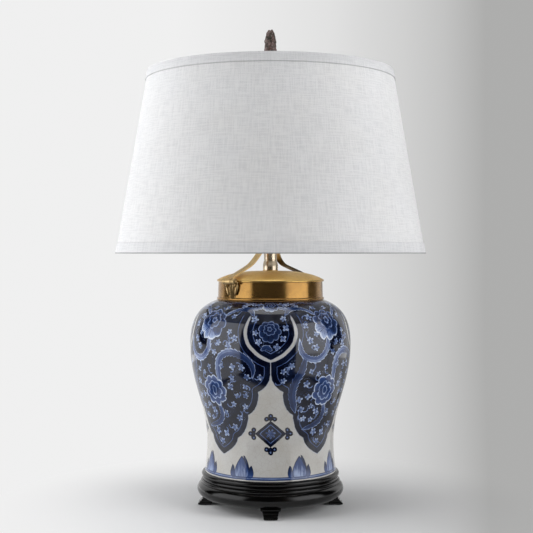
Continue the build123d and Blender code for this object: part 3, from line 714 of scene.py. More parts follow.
def reshape(mesh, *places):
    """Moves every point of the active piece to new places in millimetres."""
    mesh.vertices.foreach_set("co", (np.column_stack(places) / 1000).ravel())
    mesh.update()
    bpy.ops.object.mode_set(mode="EDIT")
    join_up(0.00001)


def corner_points(mesh):
    """The point at each corner of each face."""
    which = np.empty(len(mesh.loops), dtype=np.int64)
    mesh.loops.foreach_get("vertex_index", which)
    return which


def corners(mesh):
    """Corner positions, the face of each corner, and the number of faces."""
    totals = np.empty(len(mesh.polygons), dtype=np.int64)
    mesh.polygons.foreach_get("loop_total", totals)
    face = np.repeat(np.arange(len(totals)), totals)
    return places_of(mesh)[corner_points(mesh)], face, len(totals)


def angles_without_jump(spots, face, count):
    """Angle round the axis for each corner, kept together within each face."""
    angle = np.arctan2(spots[:, 0], -spots[:, 1])
    size = np.bincount(face, minlength=count)
    middle = np.zeros((count, 2))
    for i in range(2):
        middle[:, i] = np.bincount(face, weights=spots[:, i], minlength=count) / size
    centre = np.arctan2(middle[:, 0], -middle[:, 1])[face]
    return centre + (angle - centre + math.pi) % TURN - math.pi


def add_map(mesh, name, u, v):
    layer = mesh.uv_layers.new(name=name)
    layer.data.foreach_set("uv", np.column_stack([u, v]).astype(np.float32).ravel())


def cloth_map(mesh):
    """A flat map in metres for cloth wrapped on the shade."""
    spots, face, count = corners(mesh)
    add_map(mesh, "cloth", angles_without_jump(spots, face, count) * CLOTH_RADIUS, spots[:, 2] * CLOTH_SLANT)


# The jar's painted maps. Places are (across, up) in millimetres on the jar's side: across from the
# axis of a panel, and up along the side from the lowest painted line. Panels and medallions take
# turns round the jar, four of each, and their axes are in degrees from the front.

PANEL_AXIS, MEDALLION_AXIS, LOTUS_TURN = 45, 0, 19.5
FIRST_LINE, UNPAINTED = 1.5, -40.0
DIAMOND_UP, DIAMOND_WIDE, DIAMOND_TALL = 66.0, 22.4, 19.7
LAPPET_EDGE = [
    (92.6, 171.5), (90.6, 154), (88.2, 146), (82.5, 138), (75.5, 132), (69, 128.5), (68.8, 124), (67, 118),
    (63.5, 109.5), (58.5, 102), (53, 96.8), (47, 93), (46.6, 88.5), (44.2, 82.5), (41.5, 75.2), (37.5, 68.5),
    (32.5, 62.6), (26, 58.6), (24.6, 53.5), (21.2, 48.2), (15.5, 42.6), (8, 37.4), (0, 33.2),
]
MEDALLION_BAND = [
    (0, 172.8), (6, 175), (16.5, 180.6), (24.2, 187.4), (30.4, 194), (34, 201.5), (35.9, 210), (35, 219),
    (31.9, 228), (27.2, 239),
]
PEONIES = [(-2, 223.5, 24.5, 1.0), (-2, 127.6, 23.0, 0.5)]
MEDALLION_PEONIES = [(-1.4, 214, 16.2, 0.1), (0, 256, 12, 1.0)]
BLOSSOMS = [
    (31.4, 236), (31.4, 213), (40.5, 204), (31, 194), (14, 197.7), (36.3, 164), (50.4, 163),
    (33.4, 148.5), (76, 150), (28.9, 134.7), (52, 135.5), (49.8, 122), (28.6, 109), (12.3, 95),
    (33.5, 88.4), (46, 106), (23.6, 74), (7, 64), (-9.8, 66), (-11.5, 97), (-6.4, 162), (-39.5, 221.7),
    (-24.5, 209.6), (-35.2, 200.8), (-26, 190.5), (-74, 158), (-72, 144.8), (-62.7, 166), (-31.6, 157),
    (-36.7, 139), (-30.2, 119.4), (-43, 116), (-36.8, 101), (-22, 105), (-31, 87), (57, 150), (18, 164),
    (12, 252), (-12, 252), (36, 258), (-36, 258),
]
MEDALLION_BLOSSOMS = [
    (-22, 231.5), (-21.5, 212), (-17, 199.5), (17.3, 204), (8.5, 192.5), (21, 219), (17.6, 233), (0, 66),
    (-24, 262), (24, 262),
]
LEAVES = [
    ([(12.2, 143), (11.3, 160.6), (16, 176), (31.2, 184.5), (49, 181), (62, 172.6), (67, 161.4),
      (64.7, 148)], 6.2, 62),
    ([(-3.2, 204), (-7.2, 186.2), (-21.6, 174.2), (-38.8, 175.9), (-49.7, 186.2), (-51.9, 204)], 5.6, 120),
    ([(-43.8, 172), (-47.5, 156), (-54, 142.6), (-55.8, 126.2), (-50.3, 109), (-45, 96)], 6.8, -20),
    ([(1.3, 109), (4.2, 91), (-5.5, 78.5), (-31, 70.5)], 4.8, 14),
    ([(18, 238), (32, 248), (50, 247), (62, 236)], 4.0, 20),
    ([(-18, 240), (-32, 250), (-50, 249), (-64, 238)], 4.0, 20),
    ([(-40, 262), (-20, 266), (0, 262), (20, 266), (40, 262)], 2.6, 0),
]
MEDALLION_LEAVES = [
    ([(-12, 189), (-5.8, 192.6), (2, 187.4)], 4.2, -20), ([(-10, 254), (-24, 250), (-40, 254)], 3.6, 20),
    ([(10, 254), (24, 250), (40, 254)], 3.6, 20),
]
LOTUS_MIDDLE = [(0, 34), (2.8, 30.4), (6.6, 24.6), (9.8, 18), (11.5, 11.4), (11.2, 6), (9.2, 2.6)]
LOTUS_SIDE = [
    (14.9, 21), (17.2, 16), (18.6, 10), (18.0, 5.6), (15.2, 2.6), (9.4, 2.6), (10.6, 7.6), (10.9, 13),
    (12.2, 18),
]
LOTUS_BEHIND = [(2.0, 34.6), (4.6, 33.6), (8.4, 27.4), (11.0, 20), (11.6, 14.4), (9.0, 12.6), (4.0, 24)]


def smooth_line(points, count):
    """Points along a smooth line through the given ones."""
    p = np.array(points, dtype=float)
    p = np.vstack([2 * p[0] - p[1], p, 2 * p[-1] - p[-2]])
    out = []
    for i in range(1, len(p) - 2):
        for k in range(count):
            t = k / count
            a, b, c, d = p[i - 1], p[i], p[i + 1], p[i + 2]
            bend, twist = 2 * a - 5 * b + 4 * c - d, 3 * b - a - 3 * c + d
            out.append(0.5 * (2 * b + (c - a) * t + bend * t**2 + twist * t**3))
    out.append(p[-2])
    return np.array(out)


def nearest_on_line(spots, line):
    """Distance, signed side, run along and run to the nearer end of each spot, and the line's length."""
    start, step = line[:-1], np.diff(line, axis=0)
    span = np.linalg.norm(step, axis=1)
    run = np.concatenate([[0.0], np.cumsum(span)])
    gap = spots[:, None, :] - start[None]
    free = (gap * step[None]).sum(2) / span[None] ** 2
    held = np.clip(free, 0, 1)
    off = gap - held[..., None] * step[None]
    far = np.linalg.norm(off, axis=2)
    best = far.argmin(1)
    pick = np.arange(len(spots))
    side = (step[best, 0] * gap[pick, best, 1] - step[best, 1] * gap[pick, best, 0]) / span[best]
    share = held[pick, best].copy()
    first, last = best == 0, best == len(step) - 1
    share[first] = np.minimum(free[pick, best][first], share[first])
    share[last] = np.maximum(free[pick, best][last], share[last])
    along = run[best] + share * span[best]
    return far[pick, best], side, along, np.minimum(along, run[-1] - along), run[-1]


def inside_outline(spots, outline):
    """Signed distance to a closed outline, positive inside."""
    outline = np.array(outline, dtype=float)
    after = np.roll(outline, -1, axis=0)
    step = after - outline
    gap = spots[:, None, :] - outline[None]
    held = np.clip((gap * step[None]).sum(2) / (step**2).sum(1)[None], 0, 1)
    far = np.linalg.norm(gap - held[..., None] * step[None], axis=2).min(1)
    y = spots[:, 1][:, None]
    spans = (outline[None, :, 1] > y) != (after[None, :, 1] > y)
    rise = np.where(step[:, 1] == 0, 1e-9, step[:, 1])
    cross = outline[None, :, 0] + (y - outline[None, :, 1]) * (step[:, 0] / rise)[None]
    odd = (spans & (spots[:, 0][:, None] < cross)).sum(1) % 2 == 1
    return np.where(odd, far, -far)


def mirrored(half):
    """A half outline with its other half."""
    return list(half) + [(-x, y) for x, y in reversed(half) if abs(x) > 1e-6]


class JarSide:
    """Places on the painted side of the jar, and the maps that the glaze reads."""

    def __init__(self, spots, up):
        self.angle = np.arctan2(spots[:, 0], -spots[:, 1])
        self.radius = np.hypot(spots[:, 0], spots[:, 1]) * 1000
        self.up = up
        self.count = len(up)

    def against(self, axis, span=TURN):
        """Places across and up, measured from an axis in degrees."""
        turned = (self.angle - math.radians(axis) + span / 2) % span - span / 2
        return np.column_stack([turned * self.radius, self.up])

    def about(self, axis):
        """Places across and up, measured from the nearest of an axis's four repeats."""
        return self.against(axis, TURN / 4)

    def halved(self, axis):
        """The same with left and right laid on each other."""
        places = self.about(axis)
        places[:, 0] = np.abs(places[:, 0])
        return places

    def panels(self):
        """Depth outside the panels, depth inside the diamonds, and place up the side."""
        outline = mirrored([(120.0, 400.0), (120.0, 171.5)] + LAPPET_EDGE)
        white = -inside_outline(self.halved(PANEL_AXIS), outline)
        medal = self.halved(MEDALLION_AXIS)
        far, _, along, _, whole = nearest_on_line(medal, smooth_line(MEDALLION_BAND, 6))
        share = np.clip(along / whole, 0, 1)
        half = np.interp(share, [0, 0.1, 0.7, 0.93, 1.0], [1.7, 2.3, 2.5, 1.5, 0.0])
        white = np.maximum(white, half - far)
        flat = self.about(MEDALLION_AXIS) - np.array([0, DIAMOND_UP])
        slope = np.array([DIAMOND_TALL, DIAMOND_WIDE]) / math.hypot(DIAMOND_TALL, DIAMOND_WIDE)
        cut = slope[1] * DIAMOND_TALL - (np.abs(flat) * slope).sum(1)
        return np.column_stack([white, cut, self.up])

    def trefoils(self):
        """Depth inside the four three-lobed flowers round the diamond."""
        flat = self.about(MEDALLION_AXIS) - np.array([0, DIAMOND_UP])
        cut = np.full(self.count, -30.0)
        for x, y in ((0, 22.8), (0, -23.2), (24.9, 0), (-24.9, 0)):
            out = np.array([x, y]) / math.hypot(x, y)
            side = np.array([-out[1], out[0]])
            for a, b, r in ((3.6, 0, 3.7), (-1.0, 5.6, 3.6), (-1.0, -5.6, 3.6)):
                centre = np.array([x, y]) + out * a + side * b
                cut = np.maximum(cut, r - np.linalg.norm(flat - centre, axis=1))
            heart = 3.0 - np.linalg.norm(flat - np.array([x, y]) + out, axis=1)
            cut = np.maximum(cut, np.minimum(2.3, heart))
        return cut

    def flowers(self, places, margin):
        """Own maps of scattered flowers: place inside the flower and one more value."""
        out = np.full((self.count, 3), 9.0)
        best = np.full(self.count, 1e9)
        for axis, x, y, size, turn_by, value in places:
            flat = self.against(axis) - np.array([x, y])
            far = np.linalg.norm(flat, axis=1)
            near = (far < size + margin) & (far / size < best)
            c, s = math.cos(turn_by) / size, math.sin(turn_by) / size
            out[near, 0] = flat[near, 0] * c + flat[near, 1] * s
            out[near, 1] = flat[near, 1] * c - flat[near, 0] * s
            out[near, 2] = value
            best[near] = far[near] / size
        return out

    def leaves(self):
        """Maps of the scroll leaves, and how pale each place on them is painted."""
        out = np.tile(np.array([-30.0, 0.0, 0.0]), (self.count, 1))
        tone = np.zeros((self.count, 3))
        for base, group in ((PANEL_AXIS, LEAVES), (MEDALLION_AXIS, MEDALLION_LEAVES)):
            spots = self.about(base)
            for points, half, pale in group:
                line = smooth_line(points, 7)
                near = within_reach(spots, line, half + 6)
                far, side, along, _, whole = nearest_on_line(spots[near], line)
                taper = np.interp(along / whole, [0, 0.12, 0.5, 0.85, 1.0], [0.55, 0.9, 1.0, 0.75, 0.1])
                depth = half * taper - far
                win = depth > out[near, 0]
                out[near[win]] = np.column_stack([depth, side / half, along])[win]
                tone[near[win], 0] = np.clip((pale + 8 - along[win]) / 16, 0, 1)
        return out, tone

    def stems(self, lines):
        """Maps of thin stems: place across, distance from the nearer end, and weight."""
        out = np.tile(np.array([9.0, -5.0, 0.0]), (self.count, 1))
        best = np.full(self.count, 1e9)
        for axis, points, weight in lines:
            spots = self.against(axis)
            line = smooth_line(points, 4)
            near = within_reach(spots, line, 5)
            far, side, _, end, _ = nearest_on_line(spots[near], line)
            win = (far < 4.0) & (far < best[near])
            out[near[win]] = np.column_stack([side, end, np.full(len(near), weight)])[win]
            best[near[win]] = far[win]
            rest = (far >= 4.0) & (best[near] > 1e8)
            out[near[rest], 0] = np.where(side[rest] < 0, -9.0, 9.0)
        return out

    def lotus(self):
        """Depth inside the middle and outer petals at the foot, and inside the trefoils."""
        out = np.full((self.count, 3), -9.0)
        for axis in (PANEL_AXIS - LOTUS_TURN, PANEL_AXIS + LOTUS_TURN):
            flat = self.about(axis)
            near = np.where((np.abs(flat[:, 0]) < 24) & (flat[:, 1] < 42))[0]
            flank = inside_outline(flat[near], LOTUS_BEHIND)
            for half in (1, -1):
                flank = np.maximum(flank, inside_outline(flat[near] * np.array([half, 1]), LOTUS_SIDE))
            out[near, 0] = inside_outline(flat[near], mirrored(LOTUS_MIDDLE))
            out[near, 1] = flank
        out[:, 2] = self.trefoils()
        return out


def within_reach(spots, line, margin):
    """Which spots lie in the box round a line."""
    low, high = line.min(0) - margin, line.max(0) + margin
    return np.where(((spots > low) & (spots < high)).all(1))[0]


def bare_places(side, up):
    """Places on the painted ground that no leaf, peony or small flower has taken yet."""
    steady = np.random.default_rng(5)
    tries = np.column_stack([steady.uniform(-86, 86, 1500), steady.uniform(46, 262, 1500)])
    radius = np.interp(tries[:, 1] + FIRST_LINE, up, side[:, 0])
    angle = math.radians(PANEL_AXIS) + tries[:, 0] / radius
    spots = np.column_stack([np.sin(angle), -np.cos(angle), 0 * angle]) * radius[:, None] / 1000
    there = JarSide(spots, tries[:, 1])
    free = (there.panels()[:, 0] < -12.5) & (there.leaves()[0][:, 0] < -5.0)
    reach = np.interp(tries[:, 1], [46, 168, 172, 238, 242, 270], [90, 90, 50, 54, 66, 58])
    free &= np.abs(tries[:, 0]) < reach
    taken = list(BLOSSOMS)
    for x, y in tries[free]:
        clear = all(math.hypot(x - a, y - b) > 12.6 for a, b in taken)
        if clear and all(math.hypot(x - a, y - b) > r + 5.5 for a, b, r, _ in PEONIES):
            taken.append((x, y))
    return taken


def scatter(ground):
    """Every small flower on the jar with a steady, uneven turn, size and number of petals, and its curl."""
    steady = np.random.default_rng(11)
    small, curls = [], []
    for base, group in ((PANEL_AXIS, ground), (MEDALLION_AXIS, MEDALLION_BLOSSOMS)):
        for x, y in group:
            in_diamond = (base, y) == (MEDALLION_AXIS, DIAMOND_UP)
            size = 7.6 if in_diamond else steady.uniform(4.3, 6.0)
            turn_by = steady.uniform(0, TURN)
            petals = 7.0 if in_diamond else steady.choice([4.0, 5.0, 5.0, 5.0])
            lean = steady.uniform(0, TURN)
            bend = steady.choice([-1.0, 1.0]) * steady.uniform(0.5, 0.95)
            reach = steady.uniform(11, 18)
            curl = [(x, y)]
            for k in range(1, 6):
                lean += bend * (0.35 + 0.16 * k)
                last_x, last_y = curl[-1]
                curl.append((last_x + reach / 5 * math.cos(lean), last_y + reach / 5 * math.sin(lean)))
            for axis in range(base, base + 360, 90):
                small.append((axis, x, y, size, turn_by, petals))
                if base == PANEL_AXIS:
                    curls.append((axis, curl, 0.85))
    return small, curls


def apart(places, room):
    """Splits the flowers in three so that those in one map stay clear of each other."""
    maps = [[], [], []]
    for place in places:
        for chosen in maps:
            same_axis = [other for other in chosen if other[0] == place[0]]
            if all(math.dist(other[1:3], place[1:3]) >= room for other in same_axis):
                break
        chosen.append(place)
    return maps


def store(mesh, name, values):
    layer = mesh.attributes.new(name, "FLOAT_VECTOR", "POINT")
    layer.data.foreach_set("vector", np.ascontiguousarray(values, dtype=np.float32).ravel())


def even_steps(points, count):
    """The same line with its points evenly spaced, and how far along it each of them is."""
    p = np.array(points, dtype=float)
    run = np.concatenate([[0.0], np.cumsum(np.linalg.norm(np.diff(p, axis=0), axis=1))])
    want = np.linspace(0, run[-1], count + 1)
    return np.column_stack([np.interp(want, run, p[:, 0]), np.interp(want, run, p[:, 1])]), want


def jar_outline(inset, foot, top):
    """The jar's side from its foot up to its ledge, set in by the wall for the inner face."""
    waist, belly, ledge = JAR_WAIST_RADIUS - inset, JAR_BELLY_RADIUS - inset, JAR_LEDGE_RADIUS - inset
    rise, shoulder = JAR_BELLY - JAR_WAIST, top - JAR_BELLY
    narrow, wide = (waist, JAR_WAIST), (belly, JAR_BELLY)
    line = curved(foot, (foot[0] - 1.3, foot[1] + 9), (waist, JAR_WAIST - 16), narrow, 60)
    line += curved(narrow, (waist, JAR_WAIST + 0.38 * rise), (belly, JAR_BELLY - 0.41 * rise), wide, 160)
    lean_out, lean_in = (belly, JAR_BELLY + 0.59 * shoulder), (ledge + 26, top - 0.14 * shoulder)
    return line + curved(wide, lean_out, lean_in, (ledge, top), 100) + [(ledge, top)]


def run_up_side(spots, side, up):
    """Each spot as (radius, height) in millimetres, how far up the side it is, and if it lies on it."""
    flat = np.column_stack([np.hypot(spots[:, 0], spots[:, 1]) * 1000, spots[:, 2] * 1000])
    gap = np.full(len(flat), 1e9)
    high = np.zeros(len(flat))
    for point, run in zip(side, up):
        far = np.abs(flat - point).sum(1)
        closer = far < gap
        gap[closer] = far[closer]
        high[closer] = run
    return flat, high, gap < 0.05


class LAMP_OT_jar(bpy.types.Operator):
    """Turns the porcelain jar and lays its painted maps on it"""

    bl_idname = "jar_lamp.jar"
    bl_label = "Jar"

    def execute(self, context):
        look = context.scene.jar_lamp_jar
        side, up = even_steps(jar_outline(0, (JAR_FOOT_RADIUS, JAR_BOTTOM), JAR_LEDGE), look.up)
        mesh = turn([tuple(p) for p in side] + self.unseen(), look.around).data
        spots = places_of(mesh)
        _, high, outside = run_up_side(spots, side, up)
        place = JarSide(spots, np.where(outside, high - FIRST_LINE, UNPAINTED))
        store(mesh, "panels", place.panels())
        small, curls = scatter(bare_places(side, up))
        for index, group in enumerate(apart(small, 17.0)):
            store(mesh, f"blossoms_{index + 1}", place.flowers(group, 3.4))
        large = []
        for base, group in ((PANEL_AXIS, PEONIES), (MEDALLION_AXIS, MEDALLION_PEONIES)):
            for x, y, size, pale in group:
                large += [(axis, x, y, size, 0.0, pale) for axis in range(base, base + 360, 90)]
        store(mesh, "peonies", place.flowers(large, 4.0))
        leaves, paleness = place.leaves()
        store(mesh, "leaves", leaves)
        store(mesh, "leaf_tone", paleness)
        store(mesh, "stems", place.stems(curls))
        store(mesh, "lotus", place.lotus())
        self.lay_maps(mesh, side, up)
        settle("jar_painted", [painted_porcelain(look), bare_porcelain()], "lamp", ["jar"])
        inside = ~outside[corner_points(mesh)].reshape(-1, 4).all(1)
        mesh.polygons.foreach_set("material_index", inside.astype(np.int32))
        return {"FINISHED"}

    def unseen(self):
        """Outline of the neck, the inner face and the underside, on from the ledge."""
        ceiling, mouth = JAR_LEDGE - JAR_WALL, JAR_NECK_RADIUS - JAR_WALL
        ring = JAR_FOOT_RADIUS - JAR_FOOT_RING
        inner = even_steps(jar_outline(JAR_WALL, (JAR_FLOOR_RADIUS, JAR_FLOOR), ceiling), 14)[0]
        rest = [(JAR_NECK_RADIUS, JAR_LEDGE), (JAR_NECK_RADIUS, JAR_MOUTH)]
        rest += [(mouth, JAR_MOUTH), (mouth, ceiling)]
        rest += [tuple(p) for p in inner[::-1]]
        rest += [(JAR_HOLE_RADIUS, JAR_FLOOR), (JAR_HOLE_RADIUS, JAR_UNDERSIDE)]
        return rest + [(ring, JAR_UNDERSIDE), (ring, JAR_BOTTOM)]

    def lay_maps(self, mesh, side, up):
        """One flat map for the whole jar: the painted side above, the unseen faces below."""
        spots, face, count = corners(mesh)
        around = angles_without_jump(spots, face, count) / TURN + 0.5
        flat, high, outside = run_up_side(spots, side, up)
        seen = (np.bincount(face, weights=outside, minlength=count) == 4)[face]
        depth = np.clip((flat[:, 0] + flat[:, 1]) / 450.0, 0, 1)
        v = np.where(seen, 0.16 + 0.83 * high / up[-1], 0.01 + 0.13 * depth)
        add_map(mesh, "OFBake", np.clip(around, 0, 1), v)


class LAMP_OT_stand(bpy.types.Operator):
    """Lacquers the stand and carves its four ribbed feet"""

    bl_idname = "jar_lamp.stand"
    bl_label = "Stand"

    def execute(self, context):
        look = context.scene.jar_lamp_stand
        lacquer = lacquered_wood(look)
        dress("stand", lacquer)
        self.carve(look.rib_depth * 1000)
        for index in range(1, 5):
            if index > 1:
                bpy.ops.object.duplicate()
                turn_about_axis(-math.pi / 2)
            settle(f"foot_carved_{index}", lacquer, "lamp", [f"foot_{index}"])
        return {"FINISHED"}

    def carve(self, rib):
        """A foot with a wide shoulder, two ribs and a toe that kicks out, set at the front."""
        bpy.ops.object.select_all(action="DESELECT")
        bpy.ops.mesh.primitive_cube_add(size=2.0, location=(0, 0, 0))
        bpy.ops.object.mode_set(mode="EDIT")
        bpy.ops.mesh.subdivide(number_cuts=23)
        bpy.ops.object.mode_set(mode="OBJECT")
        mesh = bpy.context.object.data
        depth, across, rise = places_of(mesh).T
        toe, low_rib, high_rib, top = 4.2, 7.6, 10.6, FOOT_HEIGHT
        z = (rise + 1) * FOOT_HEIGHT / 2
        front = np.interp(z, [0, toe, low_rib, high_rib, top], [105.4, 104.2, 101.3, 99.1, 98.7])
        back = np.interp(z, [0, 5, 10, top], [87.2, 85.7, 82.7, 81.1])
        half = np.interp(z, [0, toe, low_rib, 10.4, 10.9, top], [8.6, 9.8, 10.8, 11.4, 14.0, 14.6])
        swell = np.zeros(len(z))
        swells = (0, toe, 1.6), (toe, low_rib, 1.0), (low_rib, high_rib, 1.0), (high_rib, top, 0.8)
        for low, high, full in swells:
            part = np.clip(1 - ((z - (low + high) / 2) / ((high - low) / 2)) ** 2, 0, 1)
            swell = np.maximum(swell, np.sqrt(part) * full * rib)
        outward = back + (front + swell - back) * (depth + 1) / 2
        lateral = across * (half + swell * 0.45) * (1 - 0.06 * np.clip(depth, 0, 1) ** 4)
        reshape(mesh, lateral, -outward, z)
        soften(0.0009, 2)
        smooth(40)


class LAMP_OT_lugs(bpy.types.Operator):
    """Casts the two ribbed shell lugs that carry the strap"""

    bl_idname = "jar_lamp.lugs"
    bl_label = "Lugs"

    def execute(self, context):
        look = context.scene.jar_lamp_brass
        finish = brass("lug brass", look.strap, look.tarnish, rough=0.28, amount=0.6)
        shell = self.shell()
        pieces = []
        for side in (-1, 1):
            pieces.append(self.knuckle(side * 0.0075))
            place, size = (0.0794, side * 0.0088, 0.3205), (0.0024, 0.0023, 0.0088)
            pieces.append(self.ball(place, size, 16, lean=-side * 0.3))
        join_pieces(shell, pieces)
        apply_place()
        turn_about_axis(-HANDLE_TURN)
        smooth(45)
        settle("lug_shell_front", finish, "lamp", ["lug_front"])
        bpy.ops.object.duplicate()
        turn_about_axis(math.pi)
        settle("lug_shell_back", finish, "lamp", ["lug_back"])
        return {"FINISHED"}

    def shell(self):
        """A fan of five ribs that narrows downwards, laid on the collar."""
        bpy.ops.object.select_all(action="DESELECT")
        bpy.ops.mesh.primitive_grid_add(x_subdivisions=44, y_subdivisions=30, size=2.0, location=(0, 0, 0))
        mesh = bpy.context.object.data
        across, rise, _ = places_of(mesh).T
        rise = (rise + 1) / 2
        half = 4.0 + 6.6 * np.clip(rise * 1.05, 0, 1) ** 1.25
        rib = 0.5 + 0.5 * np.cos(across * 5 * math.pi)
        body = np.sqrt(np.clip(1 - across**4, 0, 1))
        height = body * (1.5 + 0.9 * rise + rib * (0.8 + 0.9 * rise)) + 0.15
        height += body * 1.4 * np.exp(-(((rise - 0.97) / 0.09) ** 2))
        high = LUG_BOTTOM + LUG_HEIGHT * rise - 1.6 * (1 - across**2) * (1 - rise) ** 6
        radius = COLLAR_RADIUS + height
        turned = across * half / COLLAR_RADIUS
        reshape(mesh, radius * np.cos(turned), radius * np.sin(turned), high)
        wall = bpy.context.object.modifiers.new("wall", "SOLIDIFY")
        wall.thickness = 0.0016
        wall.offset = -1.0
        bpy.ops.object.modifier_apply(modifier=wall.name)
        return bpy.context.object

    def ball(self, place, size, rings, lean=0.0, around=24):
        bpy.ops.mesh.primitive_uv_sphere_add(
            segments=around, ring_count=rings, radius=1.0, location=place, rotation=(lean, 0, 0), scale=size
        )
        return bpy.context.object

    def knuckle(self, lateral):
        """The eye that holds the pin, with its round head and its neck down to the shell."""
        out, high, radius = 0.0849, 0.3327, 0.0045
        bpy.ops.mesh.primitive_cylinder_add(
            vertices=40, radius=radius, depth=0.0044,
            location=(out, lateral, high), rotation=(math.pi / 2, 0, 0),
        )
        eye = bpy.context.object
        soften(0.0009, 3)
        neck = self.ball((0.0822, lateral, 0.3288), (0.0034, 0.0021, 0.0052), 14)
        head = self.ball((out, lateral * 1.32, high), (radius,) * 3, 16, around=28)
        join_pieces(eye, (neck, head))
        return eye


class LAMP_OT_finial(bpy.types.Operator):
    """Carves the knobbly bronze finial with its two-pointed tip"""

    bl_idname = "jar_lamp.finial"
    bl_label = "Finial"

    def execute(self, context):
        rows = 90
        wall = [(9.0, FINIAL_BOTTOM + FINIAL_HEIGHT * i / (rows - 1)) for i in range(rows)]
        turn([(0.01, FINIAL_BOTTOM)] + wall + [(0.01, FINIAL_BOTTOM + FINIAL_HEIGHT)], 96, closed=False)
        mesh = bpy.context.object.data
        x, y, z = places_of(mesh).T * 1000
        angle = np.arctan2(y, x)
        high = z - FINIAL_BOTTOM
        levels = [0, 3, 8, 30, 44, 50.4, 55, 58.4, 60]
        size = np.interp(high, levels, [6.6, 8.2, 8.9, 9.0, 8.5, 6.9, 5.5, 4.2, 2.8])
        row = high / 6.4
        lean = np.where(np.floor(row) % 2 == 0, 0.0, math.pi / 6)
        knob = np.abs(np.cos(3 * angle + 3 * lean)) ** 0.7
        scale = knob * np.abs(np.sin(np.pi * (row % 1.0) ** 0.8)) ** 0.6
        twist = np.sin(5 * angle + high * 0.55) * 0.35 + np.sin(9 * angle - high * 0.8) * 0.22
        edge = np.interp(high, [0, 3, 55, 60], [0, 1, 1, 0.3])
        radius = size * (0.92 + (0.12 * scale + 0.05 * twist) * edge)
        at_axis = np.hypot(x, y) < 1.0
        radius[at_axis] = 0.01
        tip = np.clip((high - 52) / 8, 0, 1) ** 2
        notch = tip * (2.2 * np.abs(np.sin(angle - 0.5)) ** 1.5 + 1.3 * (np.cos(angle - 0.5) < 0))
        notch[at_axis & (high > 30)] = 2.0
        reshape(mesh, radius * np.cos(angle), radius * np.sin(angle), z - notch)
        smooth(60)
        settle("finial_carved", bpy.data.materials["bronze patina"], "finial", ["finial"])
        return {"FINISHED"}


# Plain finishes by slot: name, lighter and darker tone, roughness, and the grain of mouldings

METALS = {
    "steel": ("zinc plated steel", (0.5, 0.5, 0.5), (0.36, 0.36, 0.37), 0.3),
    "screw_shell": ("rolled aluminium", (0.66, 0.66, 0.66), (0.5, 0.5, 0.51), 0.22),
}
MOULDINGS = {
    "bakelite": ("dark bakelite", (0.012, 0.011, 0.01), (0.03, 0.022, 0.016), 0.22, 900.0),
    "porcelain_body": ("moulded body", (0.1, 0.085, 0.075), (0.07, 0.06, 0.055), 0.5, 700.0),
    "insulating_board": ("fibre board", (0.3, 0.22, 0.13), (0.2, 0.14, 0.08), 0.8, 500.0),
    "felt": ("felt ring", (0.06, 0.05, 0.045), (0.03, 0.026, 0.024), 0.9, 1200.0),
}


class LAMP_OT_hardware(bpy.types.Operator):
    """Finishes the metal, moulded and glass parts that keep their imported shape"""

    bl_idname = "jar_lamp.hardware"
    bl_label = "Fittings"

    def execute(self, context):
        look = context.scene.jar_lamp_brass
        finishes = {
            "polished_brass": brass("polished brass", look.strap, look.tarnish, rough=0.26, amount=0.25),
            "antique_brass": brass(
                "antique brass", look.antique, times(look.antique, 0.5), rough=0.16, amount=0.8, scratch=120.0
            ),
            "harp_brass": brass("harp brass", look.wire, times(look.wire, 0.7), rough=0.18, amount=0.4),
            "bulb_glass": frosted_glass(),
            "lining": lining_sheet(context.scene.jar_lamp_shade),
            "bronze": bronze_patina(look),
        }
        for slot, values in METALS.items():
            finishes[slot] = plain_metal(*values)
        for slot, values in MOULDINGS.items():
            finishes[slot] = moulded(*values)
        for part in frame["record"]["subparts"]:
            if part["material_slot"] in finishes:
                dress(part["node"], finishes[part["material_slot"]])
        # The strap's back arm is the end that gets painted shade
        back = (-math.cos(HANDLE_TURN), -math.sin(HANDLE_TURN), 0.0)
        collar = brass("collar brass", look.collar, look.tarnish, rough=0.09, amount=0.5, metal=0.84)
        lid = brass("lid brass", look.lid, look.tarnish, rough=0.33, amount=0.12, rim=LID_RIM)
        strap = brass("strap brass", look.strap, look.tarnish, rough=0.26, amount=0.25, shaded_end=back)
        for node, finish in (("cap_collar", collar), ("cap_lid", lid), ("strap_handle", strap)):
            dress(node, finish)
        return {"FINISHED"}


